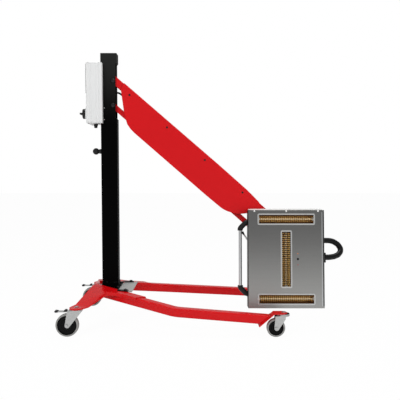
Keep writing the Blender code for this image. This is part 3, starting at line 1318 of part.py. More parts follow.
def lamp_unit(word, head, centre_z, upright):
    """One window's reflector, lamp and guard, laid out along x and turned upright in the middle window."""
    frame = Matrix.Translation((0, 0, centre_z)) @ Matrix.Rotation(math.pi / 2 if upright else 0, 4, "Y")
    front = HEAD_BACK - HEAD_DEPTH
    rim_y = front + HEAD_SHEET + GAP
    half_length = WINDOW_LENGTH / 2 + REFLECTOR_MARGIN
    half_width = WINDOW_WIDTH / 2 + REFLECTOR_MARGIN
    trough = bmesh.new()
    bmesh.ops.create_cone(
        trough, cap_ends=True, segments=ROUND, radius1=half_width, radius2=half_width, depth=2 * half_length
    )
    trough = moved(trough, Matrix.Rotation(math.pi / 2, 4, "Y"))
    bmesh.ops.bisect_plane(
        trough, geom=trough.verts[:] + trough.edges[:] + trough.faces[:], dist=MERGE,
        plane_co=(0, 0, 0), plane_no=(0, 1, 0), clear_inner=True,
    )
    trough = moved(
        trough, Matrix.Translation((0, rim_y, 0)) @ Matrix.Diagonal((1, REFLECTOR_DEPTH / half_width, 1, 1))
    )
    mesh = bpy.data.meshes.new("trough")
    trough.to_mesh(mesh)
    trough.free()
    obj = helper(mesh)
    wall = obj.modifiers.new("wall", "SOLIDIFY")
    wall.thickness = REFLECTOR_SHEET
    wall.offset = 1
    wall.use_even_offset = True
    piece(f"{word}_reflector", head, GOLD, [moved(mesh_of(obj), frame)])
    tube_y = rim_y + TUBE_INSET
    block_end = half_length - GAP
    solids = [moved(bar(TUBE_RADIUS, (-block_end + WELD, tube_y, 0), (block_end - WELD, tube_y, 0)), frame)]
    for side in (-1, 1):
        ends = sorted((side * block_end, side * (block_end - CERAMIC_LENGTH)))
        low = (ends[0], tube_y - CERAMIC_HALF, -CERAMIC_HALF)
        high = (ends[1], tube_y + CERAMIC_HALF, CERAMIC_HALF)
        solids.append(moved(box(low, high), frame))
    piece(f"{word}_lamp_tube", head, QUARTZ, solids)
    back = front - GAP
    border = rounded_outline(
        (
            -GUARD_BORDER_LENGTH / 2, -GUARD_BORDER_WIDTH / 2
        ), (GUARD_BORDER_LENGTH / 2, GUARD_BORDER_WIDTH / 2), HEAD_FOLD
    )
    opening = rounded_outline(
        (-WINDOW_LENGTH / 2, -WINDOW_WIDTH / 2), (WINDOW_LENGTH / 2, WINDOW_WIDTH / 2), HEAD_SHEET
    )
    ring = plate([border, opening], GUARD_SHEET)
    ring = moved(
        ring, Matrix.Translation((0, back - GUARD_SHEET / 2, 0)) @ Matrix.Rotation(math.pi / 2, 4, "X")
    )
    count = int(WINDOW_LENGTH / GUARD_PITCH)
    reach = WINDOW_WIDTH / 2 + GUARD_WIRE
    middle_y = back - GUARD_SHEET / 2
    wire = GUARD_WIRE / 2
    wires = merged(
        box((x - wire, middle_y - wire / 2, -reach), (x + wire, middle_y + wire / 2, reach))
        for x in ((number - (count - 1) / 2) * GUARD_PITCH for number in range(count))
    )
    piece(f"{word}_guard", head, STEEL, [moved(ring, frame), moved(wires, frame)])


def head_shell(head):
    """Folded front tray with its three windows, and the back cover with ears, vents and terminal box."""
    front = HEAD_BACK - HEAD_DEPTH
    wide = HEAD_WIDTH / 2
    tall = HEAD_HEIGHT / 2
    tray = box((-wide, front, -tall), (wide, HEAD_BACK, tall))
    edges = [e for e in tray.edges if all(v.co.y < front + MERGE for v in e.verts)]
    bmesh.ops.bevel(tray, geom=edges, offset=HEAD_FOLD, segments=2, profile=0.5, affect="EDGES")
    hollow = box(
        (
            -wide + HEAD_SHEET, front + HEAD_SHEET, -tall + HEAD_SHEET
        ), (wide - HEAD_SHEET, OVERRUN, tall - HEAD_SHEET)
    )
    length = WINDOW_LENGTH / 2 + HEAD_SHEET / 2
    width = WINDOW_WIDTH / 2 + HEAD_SHEET / 2
    windows = [
        box((-x, front - OVERRUN, z - y), (x, front + OVERRUN, z + y))
        for x, y, z in ((length, width, LAMP_ROW), (width, length, 0), (length, width, -LAMP_ROW))
    ]
    piece("head_housing", head, BRUSHED_STEEL, [tray], [hollow, *windows])
    wide -= HEAD_SHEET + GAP
    tall -= HEAD_SHEET + GAP
    inner = HEAD_BACK - HEAD_SHEET
    solids = [box((-wide, inner, -tall), (wide, HEAD_BACK, tall))]
    solids.append(
        box((-EAR_BASE_HALF, inner, -EAR_BASE_HALF), (EAR_BASE_HALF, HEAD_BACK + EAR_BASE, EAR_BASE_HALF))
    )
    ear_in = BARREL_HALF + GAP
    for low_x in (ear_in, -ear_in - EAR_SHEET):
        ear = plate([slot_outline((HEAD_BACK, 0), (0, 0), EAR_RADIUS)], EAR_SHEET)
        # The outline's x and y become y and z
        stand = Matrix(((0, 0, 1, low_x + EAR_SHEET / 2), (1, 0, 0, 0), (0, 1, 0, 0), (0, 0, 0, 1)))
        solids.append(moved(ear, stand))
    terminal = box(
        (TERMINAL_LOW_X, inner, HOSE_TOP_Z - TERMINAL_HALF_HEIGHT),
        (TERMINAL_HIGH_X, TERMINAL_BACK, HOSE_TOP_Z + TERMINAL_HALF_HEIGHT),
    )
    boss = bar(FAN_BOSS_RADIUS, (FAN_X, HEAD_BACK - WELD, 0), (FAN_X, inner - FAN_BOSS, 0), ROUND)
    solids += [terminal, boss]
    inside = box(
        (
            -EAR_BASE_HALF - OVERRUN, front, -EAR_BASE_HALF - OVERRUN
        ), (EAR_BASE_HALF + OVERRUN, inner, EAR_BASE_HALF + OVERRUN)
    )
    bore = bar(TILT_PIN_RADIUS + RUNNING, (-2 * BARREL_HALF, 0, 0), (2 * BARREL_HALF, 0, 0))
    slots = []
    for x, row in ((FAN_X, -VENT_ROW_Z), (-FAN_X, -VENT_ROW_Z), (FAN_X, VENT_ROW_Z)):
        for number in range(VENT_COUNT):
            z = row + (number - (VENT_COUNT - 1) / 2) * VENT_PITCH
            low = (x - VENT_LENGTH / 2, inner - OVERRUN, z - VENT_WIDTH / 2)
            slots.append(box(low, (x + VENT_LENGTH / 2, OVERRUN, z + VENT_WIDTH / 2)))
    piece("head_back_cover", head, BRUSHED_STEEL, solids, [inside, bore, merged(slots)])


def head_trim(head):
    """Handle with its elbows, the lead and the cooling fan."""
    edge = -HEAD_WIDTH / 2 - GAP
    ends = (HANDLE_X, HANDLE_Y)
    rail = bar(
        HANDLE_RADIUS, (*ends, HANDLE_LOW - HANDLE_SOCKET), (*ends, HANDLE_HIGH + HANDLE_SOCKET), ROUND
    )
    piece("handle_tube", head, STEEL, [rail])
    for word, z, way in (("upper", HANDLE_HIGH, 1), ("lower", HANDLE_LOW, -1)):
        high = z + way * ELBOW_RISE
        corners = [(*ends, z + way * ELBOW_START), (HANDLE_X + ELBOW_IN, HANDLE_Y, high)]
        route = eased([(*ends, z), *corners, (edge, HANDLE_Y, high)], ELBOW_BEND, ELBOW_STEPS)
        socket = bar(
            HANDLE_RADIUS + GAP, (*ends, z - way * OVERRUN), (*ends, z + way * (HANDLE_SOCKET + GAP)), ROUND
        )
        piece(f"{word}_handle_elbow", head, BLACK_PLASTIC, [tube(route, ELBOW_RADIUS)], [socket])
    flange_in = HEAD_WIDTH / 2 + GAP
    start = Vector((HEAD_WIDTH / 2, HOSE_TOP_Y, HOSE_TOP_Z))
    span = Vector((HOSE_REACH, HOSE_LOW_Y - HOSE_TOP_Y, HOSE_LOW_Z - HOSE_TOP_Z))
    loop = [start + Vector(share) * span for share in HOSE_SHARES]
    ends = [(TERMINAL_HIGH_X + GAP, HOSE_TOP_Y, HOSE_TOP_Z), (flange_in + WELD, HOSE_LOW_Y, HOSE_LOW_Z)]
    route = eased([ends[0], *loop, ends[1]], HOSE_BEND, HOSE_STEPS)
    flange = box(
        (flange_in, HOSE_LOW_Y - FLANGE_HALF, HOSE_LOW_Z - FLANGE_HALF),
        (flange_in + FLANGE_DEPTH, HOSE_LOW_Y + FLANGE_HALF, HOSE_LOW_Z + FLANGE_HALF), HANDLE_RADIUS / 3, 0,
    )
    piece("head_lead", head, BLACK_PLASTIC, [tube(route, HOSE_RADIUS), flange])
    near = HEAD_BACK - HEAD_SHEET - FAN_BOSS - RUNNING
    fan = Body("fan_axis", (FAN_X, near, 0), head)
    hub = bar(FAN_HUB_RADIUS, (FAN_X, near, 0), (FAN_X, near - FAN_DEPTH, 0), ROUND)
    blades = []
    for number in range(FAN_BLADES):
        low = (FAN_HUB_RADIUS - FAN_BLADE_SHEET, -FAN_BLADE_SHEET / 2, -FAN_DEPTH / 2)
        blade = box(low, (FAN_RADIUS, FAN_BLADE_SHEET / 2, FAN_DEPTH / 2))
        place = (
            Matrix.Translation((FAN_X, near - FAN_DEPTH / 2, 0))
            @ Matrix.Rotation(2 * math.pi * number / FAN_BLADES, 4, "Y")
            @ Matrix.Rotation(FAN_BLADE_PITCH, 4, "X")
        )
        blades.append(moved(blade, place))
    piece("fan_rotor", fan, BLACK_PLASTIC, [hub, *blades])


def settle(chassis):
    """Shifts the whole lamp so that its origin lies under the middle of its box, on the floor."""
    bpy.context.view_layer.update()
    graph = bpy.context.evaluated_depsgraph_get()
    corners = [
        part.matrix_world @ Vector(corner)
        for part in PARTS.objects if part.type == "MESH"
        for corner in evaluated_points(part.evaluated_get(graph))
    ]
    low = [min(c[i] for c in corners) for i in range(3)]
    high = [max(c[i] for c in corners) for i in range(3)]
    chassis.empty.location = (-(low[0] + high[0]) / 2, -(low[1] + high[1]) / 2, -low[2])
    print("lamp spans", [round(v, 5) for v in low], [round(v, 5) for v in high])
    print("shifted by", [round(v, 5) for v in chassis.empty.location])


def evaluated_points(obj):
    mesh = obj.to_mesh()
    points = [tuple(v.co) for v in mesh.vertices]
    obj.to_mesh_clear()
    return points


def main():
    chassis = Body("curing_lamp_origin", (0, 0, 0))
    base(chassis)
    mast(chassis)
    control_box(chassis)
    upper = arms(chassis)
    swivel = yoke(carrier(upper))
    head = Body("head_tilt", (SWIVEL_X, TILT_Y, TILT_Z), swivel, own_frame=True, turn=HEAD_TILT)
    head_shell(head)
    lamp_unit("top", head, LAMP_ROW, upright=False)
    lamp_unit("middle", head, 0, upright=True)
    lamp_unit("bottom", head, -LAMP_ROW, upright=False)
    head_trim(head)
    settle(chassis)


main()
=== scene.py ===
import json
import math

import bpy
from mathutils import Matrix, Vector


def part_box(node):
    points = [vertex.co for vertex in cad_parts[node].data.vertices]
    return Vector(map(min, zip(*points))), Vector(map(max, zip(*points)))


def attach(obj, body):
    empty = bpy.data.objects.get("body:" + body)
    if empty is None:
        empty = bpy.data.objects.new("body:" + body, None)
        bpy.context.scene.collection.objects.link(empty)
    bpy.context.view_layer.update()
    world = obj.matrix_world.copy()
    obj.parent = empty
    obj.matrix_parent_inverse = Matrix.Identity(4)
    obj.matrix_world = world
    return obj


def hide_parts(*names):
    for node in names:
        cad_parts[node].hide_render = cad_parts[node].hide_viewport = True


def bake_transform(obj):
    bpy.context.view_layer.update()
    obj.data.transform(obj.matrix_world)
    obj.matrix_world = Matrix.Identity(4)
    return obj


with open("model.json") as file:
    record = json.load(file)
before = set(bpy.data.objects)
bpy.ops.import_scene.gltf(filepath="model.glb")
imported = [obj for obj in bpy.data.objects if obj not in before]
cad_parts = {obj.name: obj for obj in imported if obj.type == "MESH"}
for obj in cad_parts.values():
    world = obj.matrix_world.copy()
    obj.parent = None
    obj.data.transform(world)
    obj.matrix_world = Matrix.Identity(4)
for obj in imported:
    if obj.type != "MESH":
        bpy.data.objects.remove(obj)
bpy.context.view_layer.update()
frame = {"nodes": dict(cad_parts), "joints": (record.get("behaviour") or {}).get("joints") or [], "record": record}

# Lengths are in metres. HAIR keeps two pieces from sharing a face
HAIR = 0.0003
QUARTER_TURN = math.pi / 2

# Places from the frame, and marks on the mast counted from its axis
JOINTS = {joint["name"]: Vector(joint["pos_m"]) for joint in frame["joints"] if "pos_m" in joint}
CASTERS = ("rear_right", "rear_left", "front_right", "front_left")
PIVOT_AHEAD = 0.017
MAST_X = JOINTS["arm_lift"].x - PIVOT_AHEAD
MAST_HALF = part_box("mast_cap")[1].y
MAST_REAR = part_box("mast_cap")[0].x - MAST_X
PIVOT_HEIGHTS = (1.429, 1.286)
PEG_HEIGHT = 1.017
BOX_SCREW_X = -0.035
BOX_SCREW_HEIGHTS = (1.27, 1.202)

# Camera, fitted to the four casters, the mast and the corners of the head
VIEW_X = 0.529
VIEW_HEIGHT = 0.885
CAMERA_PLACE = (MAST_X + VIEW_X, -3.03, VIEW_HEIGHT)
CAMERA_PITCH = math.radians(-3)
CAMERA_LENS = 45.45

# Wheels, race rings as (out, down from the top), and outlines of the brake pedals' rubbers
WHEEL_HALF = 0.014
HUB_HALF = 0.0155
WEB_HALF = 0.0058
TYRE_DEPTH = 0.0095
RACE = (
    (0.02, 0), (0.03, 0), (0.031, 0.0015), (0.031, 0.005), (0.0293, 0.0062), (0.031, 0.0074),
    (0.031, 0.011), (0.0303, 0.0124), (0.02, 0.0124), (0.02, 0),
)
CHEEK = (-0.014, 0.0198)
PEDAL_WIDTH = 0.03
PEDAL_TIP = (
    (-0.0775, -0.0018), (-0.0745, -0.0036), (-0.062, -0.0034), (-0.06, -0.0024), (-0.06, 0.0026),
    (-0.063, 0.004), (-0.0765, 0.0062), (-0.0782, 0.0048),
)
PEDAL_HEEL = (
    (-0.0275, 0.0016), (-0.0275, 0.0074), (-0.0245, 0.0102), (-0.015, 0.0102), (-0.013, 0.008),
    (-0.0125, 0.0016),
)

# Lugs and screws of the foot and the deck, as (x, y, z) of the left one
FOOT_LUG = (0.0785, 0.121, 0.2031)
DECK_SCREW = (0.095, 0.122, 0.2074)
FOOT_SCREWS = ((-0.052, 0.062, 0.2123), (0.042, 0.062, 0.2123))

# Profiles of the pivot pins' domes, the ball peg and the gland, and marks on the control box
DOME = (
    (0, 0.0082), (0.005, 0.0079), (0.0095, 0.0064), (0.0125, 0.0034), (0.0136, 0.0004), (0.0136, 0), (0, 0),
)
PEG_BALL = 0.0195
PEG_SWEEP = math.radians(146)
PEG_REACH = 0.035
PEG_NECK = ((0.0112, -0.018), (0.0125, -0.015), (0.014, -0.012), (0.014, 0), (0, 0))
GLAND_NUT = (
    (0.0054, -0.0008), (0.0124, -0.0008), (0.013, -0.0018), (0.013, -0.0098), (0.0123, -0.011),
    (0.0054, -0.011), (0.0054, -0.0008),
)
GLAND_CAP = (
    (0.0052, -0.01), (0.0106, -0.01), (0.0106, -0.012), (0.0101, -0.0128), (0.0099, -0.018),
    (0.009, -0.0218), (0.0078, -0.0237), (0.0052, -0.024), (0.0052, -0.01),
)
BOX_HALF = 0.0649
BOX_RIBS = ((-0.132, -0.111), (-0.1075, -0.078), (-0.074, -0.061), (-0.057, -0.043))
RIB_HEIGHT = 0.0016
TOP_CAP_SCREWS = ((-0.124, 0.054, 1.529), (-0.062, 0.054, 1.529))
LOW_CAP_SCREWS = ((-0.124, 0.054, 1.18), (-0.062, 0.054, 1.18))
PANE_HEIGHT = 1.4625

# The cover's screws as they show in the plane of the mast's axis; the cover's face is nearer the camera
COVER_SCREWS = ((0.118, 1.342), (0.336, 1.154), (0.557, 0.964), (0.779, 0.774))
NEARER = 1.0084

# The cable between mast and arm, as (x, down from the upper pivot)
CABLE_Y = -0.022
CABLE_RADIUS = 0.0055
CABLE_ROUTE = (
    (-0.0555, 0.068), (-0.02, 0.068), (0.015, 0.0678), (0.045, 0.069), (0.061, 0.076),
    (0.077, 0.0897), (0.092, 0.1028), (0.11, 0.1186), (0.135, 0.1406),
)

# The tilt lock's lever, from the tilt axis to its hub and from there to its ball, and where it turns pale
LEVER_HUB = Vector((-0.1433, 0, 0))
LEVER_REACH = Vector((-0.0997, 0, 0.1495))
LEVER_PALE_RISE = 0.03
BALL_RADIUS = 0.008

# Lamp head, laid out about its tilt axis: x across, y with the front at -y, z up; sizes are half sizes
HEAD_LEAN = math.radians(-5)
HEAD = Matrix.Translation(JOINTS["head_tilt"]) @ Matrix.Rotation(HEAD_LEAN, 4, "X")
HEAD_SIDE = 0.218
HEAD_TOP = 0.2815
HEAD_BACK = -0.0224
HEAD_FRONT = -0.1074
LAMP_ROW = 0.229
HALF_WINDOW = (0.159, 0.024)
WINDOW_EDGE = 0.002
TROUGH_DEPTH = 0.034
HALF_GUARD = (0.1655, 0.033)
GUARD_BAND = 0.0086
# Guard wires: how many, and their radius, pitch and shift along the window, lying and upright
WIRE_COUNT = 27
LYING_WIRES = (0.0011, 0.0115, 0)
UPRIGHT_WIRES = (0.0025, 0.0116, -0.0018)
SIGNAL_X = 0.066
HANDLE = Vector((-0.2615, -0.065, 0))
HANDLE_ENDS = (("upper", 0.1625, 1), ("lower", -0.155, -1))
ELBOW_OUT = 0.033
ELBOW_RISE = 0.048

# The head's lead: its two ends, how far its loop reaches, and the loop's points as shares of the span
LEAD_TOP = Vector((HEAD_SIDE, -0.0042, 0.103))
LEAD_LOW = Vector((HEAD_SIDE + 0.001, -0.065, 0.0065))
LEAD_REACH = 0.114
LEAD_START_X = 0.1903
LEAD_SHARES = (
    (-0.03, 0.00, 0.00), (0.49, 0.04, 0.02), (0.68, 0.11, 0.08), (0.88, 0.24, 0.24), (1.00, 0.42, 0.48),
    (0.965, 0.62, 0.68), (0.815, 0.8, 0.86), (0.59, 0.92, 0.955), (0.33, 0.98, 0.995),
)
FLANGE_HALF = 0.0285
FLANGE_SCREW = 0.0225


def srgb(red, green, blue):
    """A colour given as 0 to 255 in the usual display coding, made linear."""
    shares = [value / 255 for value in (red, green, blue)]
    line = [s / 12.92 if s < 0.04 else ((s + 0.055) / 1.055) ** 2.4 for s in shares]
    return (*line, 1.0)


class Wire:
    """A value that varies over a surface. Sums and products with it add their Math nodes."""

    def __init__(self, tree, socket):
        self.tree = tree
        self.socket = socket

    def maths(self, operation, first, second):
        return self.tree.node("ShaderNodeMath", {"operation": operation}, {0: first, 1: second})

    def __add__(self, other):
        return self.maths("ADD", self, other)

    def __radd__(self, other):
        return self.maths("ADD", other, self)

    def __sub__(self, other):
        return self.maths("SUBTRACT", self, other)

    def __rsub__(self, other):
        return self.maths("SUBTRACT", other, self)

    def __mul__(self, other):
        return self.maths("MULTIPLY", self, other)

    def __rmul__(self, other):
        return self.maths("MULTIPLY", other, self)


class Tree:
    """Nodes of one material or of the world."""

    def __init__(self, owner):
        owner.use_nodes = True
        self.nodes = owner.node_tree.nodes
        self.links = owner.node_tree.links
        self.nodes.clear()

    def feed(self, node, sockets):
        """Gives a node's sockets their values or links."""
        for name, value in sockets.items():
            if isinstance(value, Wire):
                self.links.new(value.socket, node.inputs[name])
            else:
                node.inputs[name].default_value = value

    def node(self, kind, settings, sockets, out=0):
        made = self.nodes.new(kind)
        for name, value in settings.items():
            setattr(made, name, value)
        self.feed(made, sockets)
        return Wire(self, made.outputs[out])

    def end(self, kind, surface):
        """The output node, with the shader that it shows."""
        self.links.new(surface.socket, self.nodes.new(kind).inputs["Surface"])


class Finish(Tree):
    """A surface finish: a Principled shader whose colour, roughness and bump come from patterns in metres."""

    def __init__(self, name):
        self.material = bpy.data.materials.new(name)
        super().__init__(self.material)
        self.shader = self.nodes.new("ShaderNodeBsdfPrincipled")
        self.end("ShaderNodeOutputMaterial", Wire(self, self.shader.outputs[0]))
        self.place = self.node("ShaderNodeTexCoord", {}, {}, "Object")
        self.normal = None

    def noise(self, size, detail=2.0, stretch=None):
        """Cloudy pattern from 0 to 1 whose blots are about size wide; stretch lengthens them by axis."""
        place = self.place
        if stretch:
            shares = [1 / value for value in stretch]
            place = self.node("ShaderNodeVectorMath", {"operation": "MULTIPLY"}, {0: place, 1: shares})
        return self.node("ShaderNodeTexNoise", {}, {"Vector": place, "Scale": 1 / size, "Detail": detail})

    def cells(self, size):
        """A random level for each crystal about size wide."""
        colour = self.node("ShaderNodeTexVoronoi", {}, {"Vector": self.place, "Scale": 1 / size}, "Color")
        return self.node("ShaderNodeSeparateColor", {}, {"Color": colour})

    def height(self):
        """Height above the floor, in metres."""
        return self.node("ShaderNodeSeparateXYZ", {}, {"Vector": self.place}, "Z")

    def span(self, value, low, high, first=0.0, last=1.0):
        """The value taken from low..high to first..last, and held at the ends."""
        settings = {"clamp": True, "interpolation_type": "SMOOTHSTEP"}
        sockets = {"Value": value, "From Min": low, "From Max": high, "To Min": first, "To Max": last}
        return self.node("ShaderNodeMapRange", settings, sockets)

    def edges(self, reach=0.002):
        """1 along sharp edges, broken up by noise."""
        eased = self.node("ShaderNodeBevel", {"samples": 4}, {"Radius": reach})
        true = self.node("ShaderNodeNewGeometry", {}, {}, "Normal")
        facing = self.node("ShaderNodeVectorMath", {"operation": "DOT_PRODUCT"}, {0: eased, 1: true}, "Value")
        return self.span(1 - facing, 0.01, 0.1) * self.span(self.noise(0.012, 4), 0.45, 0.65)

    def mix(self, mask, first, second):
        return self.node("ShaderNodeMix", {"data_type": "RGBA"}, {0: mask, 6: first, 7: second}, 2)

    def tint(self, mask, colour, low=0.8, high=1.1):
        """A colour that goes from low to high of its strength with the mask."""
        dark = (*[value * low for value in colour[:3]], 1)
        light = (*[min(1.0, value * high) for value in colour[:3]], 1)
        return self.mix(mask, dark, light)

    def bump(self, height, depth):
        self.normal = self.node("ShaderNodeBump", {}, {"Height": height, "Distance": depth, "Strength": 1.0})

    def set(self, **values):
        """Feeds the shader and gives the material back."""
        if self.normal:
            values["Normal"] = self.normal
        self.feed(self.shader, {name.replace("_", " "): value for name, value in values.items()})
        return self.material


def paint(name, colour, roughness, peel, gloss, chips, coat=0.0):
    """Enamel on steel: a little orange peel, slow drift of shade, chips on worn edges."""
    finish = Finish(name)
    drift = finish.noise(0.3, 3)
    worn = finish.edges()
    scuffs = finish.span(finish.noise(0.05, 6, (1, 1, 0.4)), 0.62, 0.75)
    finish.bump(finish.noise(0.0018, 2), peel)
    return finish.set(
        Base_Color=finish.mix(worn * 0.4, finish.tint(drift, colour, 0.94, 1.04), chips),
        Roughness=roughness + drift * 0.06 + scuffs * 0.08 + worn * 0.2,
        Specular_IOR_Level=gloss,
        Coat_Weight=coat,
        Coat_Roughness=0.12,
    )


def mast_paint(name, low, high):
    """Black mast enamel, paler towards the top as a painted highlight."""
    finish = Finish(name)
    # Painted highlight: the colour goes from low to high with height, standing in for the light's reflection near
    # the mast's top.
    dust_and_sheen = finish.span(finish.height(), 1.16, 1.6)
    cloud = finish.noise(0.12, 4)
    grain = finish.noise(0.0015, 3)
    finish.bump(grain, 0.00004)
    worn = finish.edges()
    body = finish.mix(dust_and_sheen * (0.75 + cloud * 0.25), low, high)
    return finish.set(
        Base_Color=finish.mix(worn * 0.3, body, srgb(92, 92, 92)),
        Roughness=0.42 + cloud * 0.1 + grain * 0.06,
        Specular_IOR_Level=0.035,
    )


def plastic(name, colour, roughness, grain, gloss):
    """Moulded plastic with a fine spark-eroded grain, shinier where hands rub it."""
    finish = Finish(name)
    cloud = finish.noise(0.06, 3)
    rubbed = finish.edges(0.001)
    finish.bump(finish.noise(0.0009, 3), grain)
    return finish.set(
        Base_Color=finish.tint(cloud, colour, 0.85, 1.15),
        Roughness=roughness + cloud * 0.12 - rubbed * 0.12,
        Specular_IOR_Level=gloss,
    )


def plated(name, colour, roughness, spangle):
    """Plated steel: crystals of slightly different shade, dull handling marks."""
    finish = Finish(name)
    crystals = finish.cells(0.006)
    dull = finish.noise(0.03, 5)
    finish.bump(finish.noise(0.0012, 2), 0.00003)
    return finish.set(
        Base_Color=finish.tint(crystals * spangle + dull * (1 - spangle), colour, 0.86, 1.08),
        Roughness=roughness + dull * 0.14,
        Metallic=1.0,
    )


def brushed(name, colour, roughness, way, depth=0.00001, foot=None, ends=None, metal=1.0):
    """Ground sheet metal: fine streaks along one axis, faint stains, and another shade at its foot, painted as a
    reflection.
    """
    finish = Finish(name)
    fine = finish.noise(0.0012, 3, way)
    broad = finish.noise(0.012, 2, way)
    stains = finish.noise(0.12, 4)
    streaks = fine * 0.5 + broad * 0.3 + stains * 0.2
    shade = finish.tint(streaks, colour, 0.88, 1.1)
    # Painted reflection: below the height span the colour turns to the foot's shade.
    if foot:
        rise = finish.span(finish.height(), *ends)
        shade = finish.mix(rise, finish.tint(streaks, foot, 0.88, 1.1), shade)
    finish.bump(fine, depth)
    return finish.set(
        Base_Color=shade,
        Roughness=roughness + fine * 0.12 + stains * 0.05,
        Metallic=metal,
    )


def rubber(name, colour):
    """Grey tyre rubber, dusty, with scuffs round the tread."""
    finish = Finish(name)
    dust_and_sheen = finish.noise(0.025, 5)
    specks = finish.noise(0.002, 3)
    finish.bump(specks, 0.0001)
    return finish.set(
        Base_Color=finish.tint(dust_and_sheen * 0.7 + specks * 0.3, colour, 0.8, 1.12),
        Roughness=0.62 + dust_and_sheen * 0.2,
        Specular_IOR_Level=0.25,
    )


def quartz(name, colour):
    """Clear lamp tube over its wire coil, coloured pale and warm as a painted highlight: glossy, slightly cloudy.
    """
    finish = Finish(name)
    painted_highlight_flecks = finish.noise(0.004, 2)
    cloud = finish.noise(0.02, 3)
    return finish.set(
        Base_Color=finish.tint(painted_highlight_flecks * 0.5 + cloud * 0.5, colour, 0.7, 1.1),
        Roughness=0.08 + cloud * 0.08,
        Specular_IOR_Level=0.7,
    )


def screen_glass(name, low, high):
    """Dark display glass over a faint even grid of cells."""
    finish = Finish(name)
    cells = finish.cells(0.004)
    dust_and_sheen = finish.noise(0.02, 4)
    return finish.set(
        Base_Color=finish.mix(cells * 0.3, low, high),
        Roughness=0.06 + dust_and_sheen * 0.08,
        Specular_IOR_Level=0.5,
    )


PRIMER = srgb(120, 40, 38)
GROUND_X = (30, 1, 1)
TRIMMED_X = (20, 1, 1)
GROUND_Z = (1, 1, 20)
DRAWN_Z = (1, 1, 30)
MIRROR = {"way": (1, 1, 12), "depth": 0.00006}

RED = paint("red_enamel", srgb(202, 18, 24), roughness=0.34, peel=0.00002, gloss=0.17, chips=PRIMER)
BASE_RED = paint(
    "base_red_enamel", srgb(206, 8, 15), roughness=0.24, peel=0.00001, gloss=0.12, chips=PRIMER, coat=0.2
)
# The mast's high colour is a painted highlight towards its top.
MAST_BLACK = mast_paint("mast_enamel", low=srgb(2, 2, 2), high=srgb(40, 41, 40))
BLACK = paint(
    "black_enamel", srgb(12, 12, 13), roughness=0.36, peel=0.00004, gloss=0.18, chips=srgb(70, 70, 70)
)
GREY = paint(
    "grey_deck_paint", srgb(168, 168, 166), roughness=0.5, peel=0.00008, gloss=0.3, chips=srgb(120, 118, 114)
)
WHITE = paint(
    "white_case_paint", srgb(220, 221, 221), roughness=0.38, peel=0.00004, gloss=0.35,
    chips=srgb(190, 190, 190),
)
# The front's paler foot is a painted reflection: below 0.1 m it takes the foot shade, blending up to 0.62 m.
STEEL_FRONT = brushed(
    "brushed_front", srgb(122, 122, 121), roughness=0.36, way=GROUND_X,
    foot=srgb(176, 176, 174), ends=(0.1, 0.62),
)
BACK_STEEL = brushed("back_sheet", srgb(150, 151, 150), roughness=0.36, way=GROUND_Z)
ALUMINIUM = brushed("handle_aluminium", srgb(212, 213, 214), roughness=0.22, way=DRAWN_Z)
BRIGHT_STEEL = brushed("bright_trim", srgb(206, 208, 210), roughness=0.25, way=TRIMMED_X)
DARK_STEEL = brushed("dark_fold", srgb(74, 74, 73), roughness=0.4, way=GROUND_Z)
GUARD_STEEL = brushed("guard_steel", srgb(208, 209, 208), roughness=0.34, way=TRIMMED_X)
GOLD = brushed("gold_mirror", srgb(255, 208, 128), roughness=0.34, metal=0.45, **MIRROR)
# A brighter and a darker copy of the gold: painted light for the upright window's trough, and painted shade on the
# troughs' sides.
GOLD_PAINTED_LIGHT = brushed("gold_painted_light", srgb(255, 214, 136), roughness=0.34, metal=0.0, **MIRROR)
GOLD_PAINTED_SHADE = brushed("gold_painted_shade", srgb(100, 62, 24), roughness=0.36, metal=0.6, **MIRROR)
ZINC = plated("zinc_plate", srgb(194, 195, 194), roughness=0.26, spangle=0.6)
BLACK_ZINC = plated("black_zinc", srgb(58, 58, 60), roughness=0.34, spangle=0.4)
PLASTIC = plastic("black_plastic", srgb(24, 24, 25), roughness=0.42, grain=0.00005, gloss=0.3)
GLOSS = plastic("gloss_black", srgb(14, 14, 15), roughness=0.16, grain=0.00001, gloss=0.5)
CORE = plastic("wheel_core", srgb(15, 15, 16), roughness=0.4, grain=0.00005, gloss=0.1)
HOSE = plastic("hose_jacket", srgb(5, 5, 6), roughness=0.2, grain=0.00001, gloss=0.25)
TYRE = rubber("grey_tyre", srgb(150, 150, 148))
GREEN = plastic("green_key", srgb(40, 150, 70), roughness=0.35, grain=0.00002, gloss=0.4)
RED_CAP = plastic("red_key", srgb(190, 30, 34), roughness=0.35, grain=0.00002, gloss=0.4)
ORANGE = plastic("orange_lens", srgb(224, 120, 44), roughness=0.3, grain=0.00001, gloss=0.4)
PORCELAIN = plastic("lamp_ceramic", srgb(206, 200, 188), roughness=0.5, grain=0.00005, gloss=0.3)
NYLON = plastic("white_clip", srgb(226, 226, 224), roughness=0.4, grain=0.00003, gloss=0.3)
BOARD = plastic("circuit_board", srgb(20, 92, 48), roughness=0.4, grain=0.00004, gloss=0.4)
# The tube's pale warm colour is a painted highlight.
QUARTZ = quartz("quartz_tube", srgb(244, 212, 160))
GUARD_WIRE = plastic("guard_wire", srgb(26, 16, 8), roughness=0.5, grain=0.00001, gloss=0.3)
SCREEN = screen_glass("display_glass", low=srgb(18, 24, 28), high=srgb(34, 44, 50))

BODY_OF = {
    node: body for body, members in frame["record"]["behaviour"]["bodies"].items() for node in members
}


def at(x, y, z):
    """A place given from the mast's axis."""
    return Vector((MAST_X + x, y, z))


def pairs(*places):
    """Each place given from the mast's axis, on the right and then on the left."""
    return [Matrix.Translation(at(x, side * y, z)) for x, y, z in places for side in (-1, 1)]


def only(obj):
    """Makes one object the selected and active one."""
    bpy.ops.object.select_all(action="DESELECT")
    obj.select_set(True)
    bpy.context.view_layer.objects.active = obj
    return obj


